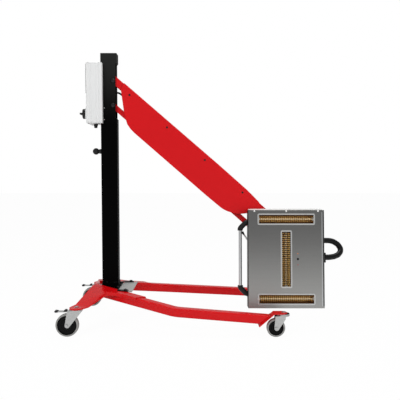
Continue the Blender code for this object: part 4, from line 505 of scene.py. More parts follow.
def settle(obj):
    """Applies the object's place, so that it stands at the origin with its place in its mesh."""
    only(obj)
    bpy.ops.object.transform_apply(location=True, rotation=True, scale=True)
    return obj


def applied(obj, kind, name, **settings):
    """Adds a modifier with its settings to the active object and applies it."""
    modifier = obj.modifiers.new(name, kind)
    for key, value in settings.items():
        setattr(modifier, key, value)
    bpy.ops.object.modifier_apply(modifier=modifier.name)
    return obj


def mode(word):
    bpy.ops.object.mode_set(mode=word)


def edited(obj, *steps):
    """Runs edit mode steps with everything selected before each."""
    only(obj)
    mode("EDIT")
    for step in steps:
        bpy.ops.mesh.select_all(action="SELECT")
        step()
    mode("OBJECT")
    return obj


def weld():
    bpy.ops.mesh.remove_doubles(threshold=0.00001)


def face_out():
    bpy.ops.mesh.normals_make_consistent(inside=False)


def flatten():
    bpy.ops.mesh.dissolve_limited(angle_limit=math.radians(0.5))


def drawn(points):
    """One point drawn along a line of points; left in edit mode with all of it selected."""
    bpy.ops.mesh.primitive_plane_add(size=0.01, location=(0, 0, 0))
    mode("EDIT")
    bpy.ops.mesh.merge(type="CENTER")
    bpy.ops.transform.translate(value=points[0])
    for before, after in zip(points, points[1:]):
        bpy.ops.mesh.extrude_vertices_move(TRANSFORM_OT_translate={"value": Vector(after) - Vector(before)})
    bpy.ops.mesh.select_all(action="SELECT")
    return bpy.context.object


def turned(profile, steps=48):
    """A shape turned about the upright axis from a profile of (out, up) points."""
    obj = drawn([Vector((out, 0, up)) for out, up in profile])
    bpy.ops.mesh.spin(steps=steps, angle=2 * math.pi, center=(0, 0, 0), axis=(0, 0, 1))
    mode("OBJECT")
    return edited(obj, weld, face_out)


def slab(outline, depth):
    """A plate of an outline in x and y, from height 0 up."""
    obj = drawn([Vector((x, y, 0)) for x, y in outline])
    bpy.ops.mesh.edge_face_add()
    bpy.ops.mesh.extrude_region_move(TRANSFORM_OT_translate={"value": (0, 0, depth)})
    mode("OBJECT")
    return edited(obj, weld, face_out)


def tube(points, radius, fineness=6):
    """A round bar along a line of points."""
    drawn([Vector(p) for p in points])
    mode("OBJECT")
    bpy.ops.object.convert(target="CURVE")
    curve = bpy.context.object.data
    curve.bevel_depth = radius
    curve.bevel_resolution = fineness
    curve.use_fill_caps = True
    bpy.ops.object.convert(target="MESH")
    return edited(bpy.context.object, weld, face_out)


def softened(obj, width, steps=2, angle=35):
    """Rounds the edges sharper than an angle, by a bevel that is applied."""
    only(obj)
    return applied(
        obj, "BEVEL", "soft_edges", width=width, segments=steps, limit_method="ANGLE",
        angle_limit=math.radians(angle), use_clamp_overlap=False, miter_outer="MITER_ARC",
    )


def standing(place, way=(0, 0, 1)):
    """The place of a shape whose upright axis is to point along a way."""
    return Matrix.Translation(place) @ Vector(way).to_track_quat("Z", "Y").to_matrix().to_4x4()


def put(obj, where):
    obj.matrix_world = where
    return settle(obj)


def joined(objects):
    only(objects[0])
    for obj in objects[1:]:
        obj.select_set(True)
    bpy.ops.object.join()
    return objects[0]


def repeated(pattern, places):
    """Copies of a shape at each place, as one object; the pattern itself is used up."""
    copies = []
    for where in places:
        copy = pattern.copy()
        copy.data = pattern.data.copy()
        bpy.context.scene.collection.objects.link(copy)
        copies.append(put(copy, where))
    bpy.data.objects.remove(pattern, do_unlink=True)
    return joined(copies)


def completed(obj, name, body, look, nodes=(), smooth=40, even=False):
    """Names a finished piece, gives it its look and its body, and hides the CAD nodes that it stands for."""
    settle(obj)
    bpy.ops.object.shade_smooth_by_angle(angle=math.radians(smooth))
    if even:
        applied(obj, "WEIGHTED_NORMAL", "even_normals", keep_sharp=True)
    obj.name = name
    obj.data.name = name
    obj.data.materials.clear()
    obj.data.materials.append(look)
    if body:
        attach(obj, body)
    if nodes:
        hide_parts(*nodes)
    return obj


def dressed(node, look, edge=0.0008, steps=2, smooth=40, angle=35):
    """The CAD node's own shape, welded, with its edges softened and its finish on."""
    obj = bpy.data.objects.new(f"{node}_copy", frame["nodes"][node].data.copy())
    bpy.context.scene.collection.objects.link(obj)
    edited(obj, weld, flatten)
    if edge:
        softened(obj, edge, steps, angle)
    return completed(obj, f"{node}_shell", BODY_OF[node], look, [node], smooth, True)


def second_look(obj, look, chosen):
    """Gives a second finish to the faces that a test picks."""
    obj.data.materials.append(look)
    for face in obj.data.polygons:
        if chosen(face):
            face.material_index = len(obj.data.materials) - 1


def rounded(points, radius, steps=8):
    """A line of points with each inner corner rounded."""
    points = [Vector(p) for p in points]
    line = [points[0]]
    for before, corner, after in zip(points, points[1:], points[2:]):
        back = (before - corner).normalized()
        ahead = (after - corner).normalized()
        half = back.angle(ahead) / 2
        reach = radius / math.tan(half)
        middle = corner + (back + ahead).normalized() * radius / math.sin(half)
        first = (corner + back * reach - middle).normalized()
        last = (corner + ahead * reach - middle).normalized()
        for step in range(steps + 1):
            line.append(middle + first.slerp(last, step / steps) * radius)
    line.append(points[-1])
    return line


def fine_line(points, steps):
    """A smooth line through the points."""
    line = []
    for number in range(len(points) - 1):
        before = points[max(number - 1, 0)]
        first, last = points[number], points[number + 1]
        after = points[min(number + 2, len(points) - 1)]
        for step in range(steps):
            t = step / steps
            line.append(0.5 * (
                2 * first + (last - before) * t + (2 * before - 5 * first + 4 * last - after) * t ** 2
                + (3 * first - before - 3 * last + after) * t ** 3
            ))
    return [*line, points[-1]]


def round_box(half_x, half_y, corner, steps=4, middle_y=0):
    """Outline of a rectangle with rounded corners, in x and y."""
    low = (-half_x, middle_y - half_y)
    high = (half_x, middle_y + half_y)
    points = []
    for turn, (x, y) in enumerate((
        (high[0] - corner, high[1] - corner), (low[0] + corner, high[1] - corner),
        (low[0] + corner, low[1] + corner), (high[0] - corner, low[1] + corner),
    )):
        for step in range(steps + 1):
            angle = (turn + step / steps) * QUARTER_TURN
            points.append((x + corner * math.cos(angle), y + corner * math.sin(angle)))
    return points


def arc(radius, sweep, steps):
    """Profile points round a ball, from its lower pole up to an angle."""
    angles = [sweep * step / steps for step in range(steps + 1)]
    return [(radius * math.sin(angle), -radius * math.cos(angle)) for angle in angles]


def both_sides(side):
    """A wheel's closed profile from that of one side."""
    ring = [*side, *[(out, -up) for out, up in reversed(side)]]
    return [*ring, ring[0]]


def cap_screw(radius, height):
    """Round screw head with a soft rim and a hexagon socket, standing on height 0."""
    hole = radius * 0.55
    floor = height * 0.35
    head = turned([
        (hole, height), (radius * 0.86, height), (radius, height * 0.8), (radius, 0), (0, 0),
    ], steps=24)
    socket = turned([(hole, height), (radius * 0.5, floor), (0, floor)], steps=6)
    return edited(joined([head, socket]), weld)


def screws(name, body, places, radius, height, look=BLACK_ZINC):
    """Equal cap screws at several places, as one piece."""
    completed(repeated(cap_screw(radius, height), places), name, body, look)


def hex_nut(radius, height):
    """Chamfered nut on its washer, with the end of its bolt."""
    rim = radius * 1.25
    sheet = height * 0.12
    low = height * 0.1
    bolt = radius * 0.5
    tip = height * 1.2
    washer = turned([(0, 0), (rim, 0), (rim, sheet), (0, sheet)], steps=32)
    nut = turned([
        (0, low), (radius, low), (radius, height * 0.86), (radius * 0.86, height), (0, height),
    ], steps=6)
    end = turned([
        (0, height * 0.9), (bolt, height * 0.9), (bolt, height * 1.12), (radius * 0.42, tip), (0, tip),
    ], steps=24)
    return joined([washer, nut, end])


def wheel(word):
    """Wheel core with its hub, and the tyre round it."""
    axle = JOINTS[f"{word}_roll"]
    where = standing(axle, (0, 1, 0))
    body = f"{word}_wheel_body"
    radius = axle.z
    core = radius - TYRE_DEPTH
    groove = core * 0.62
    side = [
        (core, WHEEL_HALF), (core - 0.0012, WHEEL_HALF), (core - 0.0026, WHEEL_HALF - 0.0012),
        (core - 0.005, 0.0075), (core - 0.0085, WEB_HALF), (groove + 0.0012, WEB_HALF), (groove, 0.0068),
        (groove - 0.0012, WEB_HALF), (0.0165, 0.0056), (0.0138, 0.0075), (0.013, 0.014), (0.0118, HUB_HALF),
        (0.0053, HUB_HALF),
    ]
    middle = put(turned(both_sides(side), steps=72), where)
    completed(middle, f"{word}_wheel_core", body, CORE, [f"{word}_wheel"], smooth=30)
    side = [
        (core + HAIR, WHEEL_HALF), (radius - 0.0062, WHEEL_HALF), (radius - 0.0057, WHEEL_HALF - 0.0004),
        (radius - 0.0052, WHEEL_HALF),
    ]
    crown = 0.0045
    shoulder = 0.005
    for step in range(6):
        angle = QUARTER_TURN * step / 5
        out = radius - crown + crown * math.sin(angle)
        side.append((out, WHEEL_HALF - shoulder + shoulder * math.cos(angle)))
    tyre = put(turned(both_sides(side), steps=96), where)
    completed(tyre, f"{word}_tyre_ring", body, TYRE, [f"{word}_tyre"], smooth=30)


def fork(word):
    """Fork with its race ring and a pressed rib on each cheek."""
    axle = JOINTS[f"{word}_roll"]
    swivel = JOINTS[f"{word}_swivel"]
    body = f"{word}_caster"
    dressed(f"{word}_fork", ZINC, edge=0.0006)
    height = swivel.z - HAIR
    race = turned([(out, height - down) for out, down in RACE], steps=64)
    race = put(race, Matrix.Translation((swivel.x, swivel.y, 0)))
    completed(race, f"{word}_race_ring", body, ZINC, smooth=30)
    top = height - 0.013
    foot = axle.z + (top - axle.z) * 0.36
    rib = slab(round_box(0.0011, (top - foot) / 2, 0.001, middle_y=(top + foot) / 2), 0.0012)
    places = []
    for way in (-1, 1):
        face = Matrix.Translation((swivel.x + CHEEK[0], swivel.y + way * CHEEK[1], 0))
        sunk = Matrix.Translation((0, 0, -0.0006))
        places.append(face @ Matrix.Rotation(QUARTER_TURN, 4, "X") @ sunk)
    completed(repeated(rib, places), f"{word}_cheek_ribs", body, ZINC)


def pedal(word):
    """Brake pedal with a rubber on its tip and one on its heel."""
    dressed(f"{word}_brake_pedal", ZINC, edge=0.0006)
    hinge = JOINTS[f"{word}_brake"]
    rubbers = joined([slab(outline, PEDAL_WIDTH) for outline in (PEDAL_TIP, PEDAL_HEEL)])
    rubbers = softened(rubbers, width=0.0008)
    side = Matrix.Translation((hinge.x, hinge.y + PEDAL_WIDTH / 2, hinge.z))
    rubbers = put(rubbers, side @ Matrix.Rotation(QUARTER_TURN, 4, "X"))
    completed(rubbers, f"{word}_pedal_rubbers", f"{word}_pedal", PLASTIC)


def base():
    """Legs, arches, front pads, deck, kingpin nuts, foot lugs and screws."""
    for side in ("right", "left"):
        dressed(f"{side}_base_leg", BASE_RED, edge=0.009, steps=4)
        dressed(f"{side}_base_arch", BASE_RED, edge=0.0014, steps=3, angle=25)
        dressed(f"{side}_front_pad", BASE_RED, edge=0.001)
    dressed("deck_plate", GREY, edge=0.0006)
    places = []
    for word in CASTERS:
        pin = JOINTS[f"{word}_swivel"]
        rise = 0.004 if word.startswith("rear") else 0.005
        places.append(Matrix.Translation((pin.x, pin.y, pin.z + rise)))
    nuts = repeated(hex_nut(radius=0.0106, height=0.005), places)
    completed(nuts, "kingpin_nuts", "chassis", ZINC)
    lug = softened(slab(round_box(0.0335, 0.016, corner=0.006), depth=0.0045), width=0.001)
    completed(repeated(lug, pairs(FOOT_LUG)), "foot_lugs", "chassis", BLACK)
    screws("deck_screws", "chassis", pairs(DECK_SCREW), radius=0.009, height=0.007)
    screws("foot_screws", "chassis", pairs(*FOOT_SCREWS), radius=0.006, height=0.005)


def mast():
    """Mast with its cap, ball peg, pivot pins and the screws that hold the box."""
    dressed("mast", MAST_BLACK, edge=0.001, steps=3)
    dressed("mast_cap", MAST_BLACK, edge=0.0012, steps=3)
    ball = [(out, up - PEG_REACH) for out, up in arc(PEG_BALL, PEG_SWEEP, 14)]
    seat = at(MAST_REAR - HAIR, 0, PEG_HEIGHT)
    peg = put(turned([*ball, *PEG_NECK]), standing(seat, (1, 0, 0)))
    completed(peg, "cable_peg_shell", "chassis", PLASTIC, ["cable_peg"])
    for word in ("upper", "lower"):
        dressed(f"{word}_pivot_pin", BLACK, edge=0.0004)
    places = [standing(at(PIVOT_AHEAD, -MAST_HALF - HAIR, z), (0, -1, 0)) for z in PIVOT_HEIGHTS]
    domes = repeated(turned(DOME, steps=40), places)
    completed(domes, "pivot_pin_domes", "chassis", BLACK_ZINC)
    places = [
        standing(at(BOX_SCREW_X, way * MAST_HALF, z), (0, way, 0))
        for way in (-1, 1) for z in BOX_SCREW_HEIGHTS
    ]
    screws("box_screws", "chassis", places, radius=0.0032, height=0.002, look=ZINC)


def box_ribs():
    """Soft ribs along both sides of the control box, between its caps."""
    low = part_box("box_bottom_cap")[1].z
    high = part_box("box_top_cap")[0].z
    ribs = []
    for first, last in BOX_RIBS:
        middle = (first + last) / 2
        half = (last - first) / 2
        outline = [(half, 0)]
        for step in range(1, 12):
            angle = math.pi * step / 12
            outline.append((half * math.cos(angle), RIB_HEIGHT * math.sin(angle) ** 0.7))
        outline.append((-half, 0))
        rib = slab(outline, high - low)
        ribs.append(repeated(rib, [
            Matrix.Translation(at(middle, -BOX_HALF, low)) @ Matrix.Rotation(math.pi, 4, "Z"),
            Matrix.Translation(at(middle, BOX_HALF, low)),
        ]))
    completed(joined(ribs), "box_side_ribs", "chassis", WHITE, smooth=60)


def key_cap(word, look):
    """Round key with a dished face."""
    node = f"{word}_key"
    low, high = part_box(node)
    middle = (low + high) / 2
    depth = high.x - low.x
    key = turned([
        (0, 0), (0.0088, 0), (0.009, 0.0006), (0.009, depth - 0.001), (0.008, depth),
        (0.006, depth - 0.0002), (0.003, depth - 0.0008), (0, depth - 0.001),
    ], steps=40)
    key = put(key, standing((high.x, middle.y, middle.z), (-1, 0, 0)))
    completed(key, f"{node}_shell", BODY_OF[node], look, [node])


def control_box():
    """Box with its caps, ribs, panel, keys, knob, gland and board."""
    dressed("control_box", WHITE, edge=0.0012, steps=3)
    for node in ("box_top_cap", "box_bottom_cap"):
        dressed(node, WHITE, edge=0.001, steps=3)
    box_ribs()
    places = pairs(*TOP_CAP_SCREWS)
    places += [place @ Matrix.Rotation(math.pi, 4, "X") for place in pairs(*LOW_CAP_SCREWS)]
    screws("cap_screws", "chassis", places, radius=0.0042, height=0.0028)
    dressed("display_panel", GLOSS, edge=0.0006)
    pane = softened(slab(round_box(0.034, 0.0355, corner=0.003), depth=0.0006), width=0.0002)
    seat = Matrix.Translation((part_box("display_panel")[0].x + 0.0012, 0, PANE_HEIGHT))
    # The outline's x, y and height become y, z and -x
    pane = put(pane, seat @ Matrix(((0, 0, -1, 0), (1, 0, 0, 0), (0, 1, 0, 0), (0, 0, 0, 1))))
    completed(pane, "display_pane", "chassis", SCREEN)
    key_cap("start", GREEN)
    key_cap("stop", RED_CAP)
    dressed("main_switch_knob", PLASTIC, edge=0.001, steps=3)
    low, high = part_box("cable_gland")
    gland = joined([turned(GLAND_NUT, steps=6), turned(GLAND_CAP)])
    gland = put(gland, Matrix.Translation(((low.x + high.x) / 2, 0, high.z)))
    completed(gland, "cable_gland_shell", "chassis", PLASTIC, ["cable_gland"])
    dressed("control_board", BOARD, edge=0)


def arms():
    """Upper and lower arm, folded cover with its screws, gas spring, and the cable between mast and arm."""
    dressed("upper_arm", RED, edge=0.001, steps=3)
    dressed("lower_arm", RED, edge=0.001, steps=3)
    dressed("arm_cover", RED, edge=0.0012, steps=3, angle=25)
    dressed("balance_cylinder", BLACK, edge=0.0004)
    dressed("balance_rod", BRIGHT_STEEL, edge=0.0004)
    face = abs(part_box("arm_cover")[0].y)
    heads = []
    for x, z in COVER_SCREWS:
        spot = at(VIEW_X + (x - VIEW_X) * NEARER, 0, VIEW_HEIGHT + (z - VIEW_HEIGHT) * NEARER)
        heads += [standing((spot.x, way * face, spot.z), (0, way, 0)) for way in (-1, 1)]
    screws("cover_screws", "upper_arm_body", heads, radius=0.0058, height=0.0022)
    route = [at(x, CABLE_Y, PIVOT_HEIGHTS[0] - down) for x, down in CABLE_ROUTE]
    cable = tube(fine_line(route, 5), CABLE_RADIUS)
    completed(cable, "arm_cable_shell", None, HOSE, ["arm_cable"])
    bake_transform(cable)


def carrier():
    """Upright link, swivel yoke and the tilt lock's lever with its ball."""
    dressed("head_carrier", BLACK, edge=0.001, steps=3)
    dressed("head_yoke", BLACK)
    pin = JOINTS["head_tilt"]
    hub = pin + LEVER_HUB
    end = hub + LEVER_REACH
    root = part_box("lock_lever")[1].x
    rod = tube([hub, end], 0.0048)
    shaft = tube([hub, (root - 0.009, pin.y, pin.z)], 0.006)
    collar = put(turned([
        (0, -0.0072), (0.0102, -0.0072), (0.0112, -0.006), (0.0112, 0.006), (0.0102, 0.0072), (0, 0.0072),
    ], steps=40), standing(hub, (1, 0, 0)))
    nut = put(turned([
        (0, 0), (0.011, 0), (0.011, 0.0066), (0.0096, 0.008), (0, 0.008),
    ], steps=6), standing((root - 0.008, pin.y, pin.z), (1, 0, 0)))
    lever = joined([rod, shaft, collar, nut])
    completed(lever, "lock_lever_shell", "tilt_lock", ALUMINIUM, ["lock_lever"])
    second_look(lever, WHITE, lambda face: face.center.z > hub.z + LEVER_PALE_RISE)
    where = standing(end, LEVER_REACH.normalized())
    ball = put(turned([*arc(BALL_RADIUS, math.pi, 16)[:-1], (0, BALL_RADIUS)], steps=32), where)
    sleeve = put(turned([(0, -0.014), (0.0052, -0.014), (0.006, -0.006), (0, -0.006)], steps=32), where)
    completed(joined([ball, sleeve]), "lever_ball", "tilt_lock", PLASTIC)


def in_head(x, y, z, way=(0, -1, 0)):
    """A place on the head, for a shape whose upright axis points along a way of the head."""
    return HEAD @ standing((x, y, z), way)


def trough_shape(rim, half_length, half_width):
    """Half oval trough, open to the front, with a thin wall."""
    angles = [math.pi * step / 24 for step in range(25)]
    trough = slab([(half_width * math.cos(a), TROUGH_DEPTH * math.sin(a)) for a in angles], 2 * half_length)
    edited(trough, lambda: bpy.ops.mesh.select_all(action="DESELECT"))
    for face in trough.data.polygons:
        face.select = face.normal.y < -0.9
    mode("EDIT")
    bpy.ops.mesh.delete(type="FACE")
    mode("OBJECT")
    applied(trough, "SOLIDIFY", "wall", thickness=0.001, offset=1, use_even_offset=True)
    # The outline's x, y and height become z, y and x of the window
    turn = Matrix(((0, 0, 1, -half_length), (0, 1, 0, rim), (1, 0, 0, 0), (0, 0, 0, 1)))
    return edited(put(trough, turn), face_out)


def guard_shape(back):
    """The guard's frame: drawn, inset, opened and raised, with its edges rounded."""
    outline = round_box(*HALF_GUARD, corner=0.01)
    band = drawn([Vector((x, back, z)) for x, z in outline])
    bpy.ops.mesh.edge_face_add()
    bpy.ops.mesh.inset(thickness=GUARD_BAND, depth=0)
    bpy.ops.mesh.delete(type="FACE")
    mode("OBJECT")
    thickness = 0.0015
    applied(band, "SOLIDIFY", "wall", thickness=thickness, offset=0)
    softened(band, width=0.0005)
    band.location = (0, -thickness / 2, 0)
    return settle(band)


def lamp_window(word, centre, upright):
    """One window: gold trough, quartz lamp on ceramic ends, and the wire guard in its pressed frame. The trough's
    sides carry painted shade, and the upright window's trough is a brighter gold as painted light.
    """
    turn = Matrix.Rotation(QUARTER_TURN if upright else 0, 4, "Y")
    place = HEAD @ Matrix.Translation((0, 0, centre)) @ turn
    to_window = place.inverted()
    rim = HEAD_FRONT + 0.0023
    half_length = HALF_WINDOW[0] + WINDOW_EDGE
    half_width = HALF_WINDOW[1] + WINDOW_EDGE
    trough = put(trough_shape(rim, half_length, half_width), place)
    look = GOLD_PAINTED_LIGHT if upright else GOLD
    completed(trough, f"{word}_trough", "head", look, [f"{word}_reflector"], smooth=30)
    # Painted shade: faces far from the trough's middle get the darker gold.
    painted_shade_reach = half_width * (0.9 if upright else 0.6)
    second_look(trough, GOLD_PAINTED_SHADE, lambda face: abs((to_window @ face.center).z) > painted_shade_reach)
    lamp_y = rim + 0.015
    end = half_length - HAIR
    glass = turned([
        (0, -end + 0.01), (0.0046, -end + 0.01), (0.0055, -end + 0.016), (0.0055, end - 0.016),
        (0.0046, end - 0.01), (0, end - 0.01),
    ], steps=32)
    glass = put(put(glass, standing((0, lamp_y, 0), (1, 0, 0))), place)
    completed(glass, f"{word}_quartz", "head", QUARTZ, [f"{word}_lamp_tube"])
    block = softened(slab(round_box(0.008, 0.008, corner=0.002), depth=0.01), width=0.001)
    ends = [place @ standing((-way * end, lamp_y, 0), (way, 0, 0)) for way in (1, -1)]
    completed(repeated(block, ends), f"{word}_lamp_ends", "head", PORCELAIN)
    back = HEAD_FRONT - HAIR
    band = put(guard_shape(back), place)
    completed(band, f"{word}_guard_frame", "head", GUARD_STEEL, [f"{word}_guard"])
    thick, pitch, shift = UPRIGHT_WIRES if upright else LYING_WIRES
    half_wire = HALF_WINDOW[1] + 0.001
    wire = tube([(0, 0, -half_wire), (0, 0, half_wire)], thick, fineness=2)
    places = []
    for number in range(WIRE_COUNT):
        along = (number - (WIRE_COUNT - 1) / 2) * pitch + shift
        places.append(place @ Matrix.Translation((along, back - 0.0008, 0)))
    completed(repeated(wire, places), f"{word}_guard_wires", "head", GUARD_WIRE)


def head_case():
    """Brushed housing with its dark folded sides, the pale roof strip and the back cover."""
    housing = dressed("head_housing", STEEL_FRONT, edge=0, smooth=20)
    to_head = HEAD.to_3x3().inverted()
    second_look(housing, DARK_STEEL, lambda face: abs((to_head @ face.normal).x) > 0.8)
    roof = softened(slab([
        (HEAD_FRONT + 0.002, HEAD_TOP - 0.0005), (HEAD_BACK - 0.002, HEAD_TOP - 0.0005),
        (HEAD_BACK - 0.004, HEAD_TOP + 0.0085),
    ], depth=0.428), width=0.0008)
    # The outline's x, y and height become y, z and x of the head
    roof = put(roof, HEAD @ Matrix(((0, 0, 1, -0.212), (1, 0, 0, 0), (0, 1, 0, 0), (0, 0, 0, 1))))
    completed(roof, "head_roof", "head", NYLON)
    dressed("head_back_cover", BACK_STEEL, edge=0, smooth=20)


def head_front():
    """Heat sensor, signal lenses, clips at the top edge, and two strips at the fold: a bright one as its painted
    highlight, a black one as its painted shade.
    """
    sensor = turned([
        (0, 0.0012), (0.004, 0.0012), (0.0046, 0.0026), (0.006, 0.0026), (0.0062, 0.002), (0.0062, 0),
        (0, 0),
    ], steps=40)
    sensor = put(sensor, in_head(SIGNAL_X, HEAD_FRONT, 0))
    completed(sensor, "heat_sensor", "head", PLASTIC)
    for name, height, look, slot in (
        ("orange_signal", 0.031, ORANGE, "gloss_black"), ("red_signal", -0.033, RED_CAP, "red_key"),
    ):
        lens = turned([(0, 0.0014), (0.0016, 0.0012), (0.0026, 0.0005), (0.0028, 0), (0, 0)], steps=24)
        completed(put(lens, in_head(SIGNAL_X, HEAD_FRONT, height)), name, "head", look)
    clip = softened(slab(round_box(0.0042, 0.0052, corner=0.0015), depth=0.002), width=0.0005)
    places = [in_head(x, HEAD_FRONT, HEAD_TOP - 0.0058) for x in (-0.183, 0.0, 0.183)]
    completed(repeated(clip, places), "edge_clips", "head", NYLON)
    # Painted highlight and painted shade of the front's right fold: a bright strip and a black strip laid on the
    # face.
    for name, x, half, look, slot in (
        ("fold_painted_highlight", 0.2055, 0.0022, BRIGHT_STEEL, "steel"),
        ("fold_painted_shade", 0.2137, 0.0026, PLASTIC, "black_plastic"),
    ):
        strip = slab(round_box(half, HEAD_TOP - 0.012, corner=0.001), depth=0.0008)
        strip = softened(strip, width=0.0003)
        completed(put(strip, in_head(x, HEAD_FRONT, 0)), name, "head", look)


def head_sides():
    """Rivets round the housing's edge and the dark seals at its sides."""
    row = HEAD_BACK - 0.01
    rivets = []
    for side in (-1, 1):
        for z in (-0.24, -0.12, 0.0, 0.12, 0.24):
            rivets.append(in_head(side * HEAD_SIDE, row, z, (side, 0, 0)))
    for x in (-0.18, -0.06, 0.06, 0.18):
        for side in (-1, 1):
            rivets.append(in_head(x, row, side * HEAD_TOP, (0, 0, side)))
    rivet = turned([(0, 0.0012), (0.0014, 0.001), (0.0026, 0.0004), (0.0029, 0), (0, 0)], steps=20)
    completed(repeated(rivet, rivets), "edge_rivets", "head", BRIGHT_STEEL)
    seal = slab(round_box(0.0012, HEAD_TOP - 0.002, corner=0.001), depth=0.006)
    places = []
    for side in (-1, 1):
        spot = Matrix.Translation((side * HEAD_SIDE, HEAD_FRONT + 0.012, 0))
        places.append(HEAD @ spot @ Matrix.Rotation(QUARTER_TURN, 4, "X"))
    completed(repeated(seal, places), "edge_seals", "head", PLASTIC)


def handle():
    """Aluminium rail between two plastic elbows that stand on the head's side."""
    rail = turned([
        (0, -0.168), (0.0086, -0.168), (0.0095, -0.167), (0.0095, 0.1755), (0.0086, 0.1765), (0, 0.1765),
    ])
    rail = put(rail, HEAD @ Matrix.Translation(HANDLE))
    completed(rail, "handle_rail", "head", ALUMINIUM, ["handle_tube"])
    edge = -HEAD_SIDE - HAIR
    for word, z, way in HANDLE_ENDS:
        start = HANDLE + Vector((0, 0, z))
        corner = HANDLE + Vector((ELBOW_OUT, 0, z + way * ELBOW_RISE))
        wall = (edge, HANDLE.y, corner.z)
        route = rounded([start, start + Vector((0, 0, way * 0.014)), corner, wall], radius=0.021)
        bend = tube(route, 0.015, fineness=8)
        sleeve = turned([
            (0.0097, 0), (0.0146, 0), (0.0155, 0.001), (0.0155, 0.012), (0.015, 0.013), (0.0097, 0.013),
            (0.0097, 0),
        ])
        sleeve = put(sleeve, standing(start, (0, 0, way)))
        foot = turned([
            (0, 0), (0.0165, 0), (0.017, 0.0008), (0.017, 0.004), (0.0155, 0.0052), (0, 0.0052),
        ])
        foot = put(foot, standing(wall, (-1, 0, 0)))
        elbow = put(joined([bend, sleeve, foot]), HEAD)
        node = f"{word}_handle_elbow"
        completed(elbow, f"{node}_shell", "head", PLASTIC, [node])


def lead():
    """Looped lead from the terminal box to its flange on the head's side, with the flange's screws."""
    span = Vector((LEAD_REACH, LEAD_LOW.y - LEAD_TOP.y, LEAD_LOW.z - LEAD_TOP.z))
    loop = [LEAD_TOP + Vector(share) * span for share in LEAD_SHARES]
    route = rounded([(LEAD_START_X, LEAD_TOP.y, LEAD_TOP.z), *loop, LEAD_LOW], radius=0.03, steps=6)
    hose = put(tube(route, 0.0163, fineness=9), HEAD)
    plate = slab(round_box(FLANGE_HALF, FLANGE_HALF, corner=0.005), depth=0.011)
    plate = softened(plate, width=0.0012, steps=3)
    collar = [(0, 0.009), (0.0225, 0.009), (0.0225, 0.013), (0.0205, 0.015), (0, 0.015)]
    collar = turned(collar)
    flange = put(joined([plate, collar]), in_head(HEAD_SIDE + HAIR, LEAD_LOW.y, LEAD_LOW.z, (1, 0, 0)))
    completed(joined([hose, flange]), "head_lead_shell", "head", HOSE, ["head_lead"])
    face = HEAD_SIDE + 0.0112
    places = [
        in_head(face, LEAD_LOW.y + side * FLANGE_SCREW, LEAD_LOW.z + way * FLANGE_SCREW, (1, 0, 0))
        for side in (-1, 1) for way in (-1, 1)
    ]
    screws("flange_screws", "head", places, radius=0.0032, height=0.002, look=ZINC)


def head_rear():
    """Screws of the back cover and the fan, and the fan itself."""
    spots = [(-0.2, 0.265), (0.2, 0.265), (-0.2, -0.265), (0.2, -0.265)]
    spots += [(-0.2, 0), (0.2, 0), (0, 0.265), (0, -0.265)]
    places = [in_head(x, HEAD_BACK, z, (0, 1, 0)) for x, z in spots]
    fan = 0.038
    places += [in_head(x, HEAD_BACK + 0.003, z, (0, 1, 0)) for x in (-fan, fan) for z in (-fan, fan)]
    screws("back_screws", "head", places, radius=0.004, height=0.0024, look=ZINC)
    dressed("fan_rotor", PLASTIC, edge=0.0003)


def set_camera():
    data = bpy.data.cameras.new("studio_camera")
    data.lens = CAMERA_LENS
    camera = bpy.data.objects.new("studio_camera", data)
    camera.location = CAMERA_PLACE
    camera.rotation_euler = (QUARTER_TURN + CAMERA_PITCH, 0, 0)
    bpy.context.scene.collection.objects.link(camera)
    bpy.context.scene.camera = camera


def soft_light(name, place, size, power, mirrored=False):
    """A soft box aimed at the middle of the lamp."""
    data = bpy.data.lights.new(name, "AREA")
    data.shape = "RECTANGLE"
    data.size, data.size_y = size
    data.energy = power
    light = bpy.data.objects.new(name, data)
    light.location = place
    light.rotation_euler = (Vector((0, 0, 0.7)) - Vector(place)).to_track_quat("-Z", "Y").to_euler()
    light.visible_glossy = mirrored
    bpy.context.scene.collection.objects.link(light)


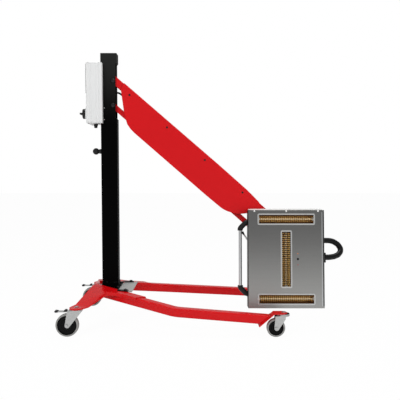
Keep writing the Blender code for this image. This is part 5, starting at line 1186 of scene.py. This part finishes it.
def seen_by(tree):
    """Whether a ray comes from the camera, straight or through glass, and whether it is mirrored."""
    rays = tree.nodes.new("ShaderNodeLightPath")
    seen = Wire(tree, rays.outputs["Is Camera Ray"])
    seen = seen.maths("MAXIMUM", seen, Wire(tree, rays.outputs["Is Transmission Ray"]))
    return seen, Wire(tree, rays.outputs["Is Glossy Ray"])


def set_stage():
    """Pale floor, white surroundings and three soft boxes."""
    bpy.context.scene.view_settings.view_transform = "Standard"
    bpy.ops.mesh.primitive_plane_add(size=40, location=(0, 0, -0.0005))
    floor = bpy.context.object
    floor.name = "studio_floor"
    look = bpy.data.materials.new("pale_floor")
    tree = Tree(look)
    seen, gloss = seen_by(tree)
    seen = seen.maths("MAXIMUM", seen, gloss * 0.5)
    matt = tree.node("ShaderNodeBsdfDiffuse", {}, {"Color": (0.86, 0.86, 0.86, 1)})
    glow = tree.node("ShaderNodeEmission", {}, {"Color": (1, 1, 1, 1), "Strength": 1.0})
    both = tree.node("ShaderNodeMixShader", {}, {0: seen * 0.97, 1: matt, 2: glow})
    tree.end("ShaderNodeOutputMaterial", both)
    floor.data.materials.append(look)
    world = bpy.data.worlds.new("studio")
    bpy.context.scene.world = world
    tree = Tree(world)
    seen, gloss = seen_by(tree)
    level = 0.45 + seen * 0.55 + gloss * 0.1
    sky = tree.node("ShaderNodeBackground", {}, {"Color": (1, 1, 1, 1), "Strength": level})
    tree.end("ShaderNodeOutputWorld", sky)
    soft_light("key_box", (-2.2, -3.2, 3.0), size=(2.0, 1.6), power=72)
    soft_light("fill_box", (2.8, -2.6, 1.6), size=(1.6, 2.2), power=38)
    soft_light("top_box", (0.2, 0.3, 4.2), size=(3.0, 2.4), power=60, mirrored=True)


def main():
    for word in CASTERS:
        wheel(word)
        fork(word)
        if word.startswith("rear"):
            pedal(word)
    base()
    mast()
    control_box()
    arms()
    carrier()
    head_case()
    lamp_window("top", LAMP_ROW, upright=False)
    lamp_window("middle", 0, upright=True)
    lamp_window("bottom", -LAMP_ROW, upright=False)
    head_front()
    head_sides()
    handle()
    lead()
    head_rear()


set_camera()
set_stage()
main()
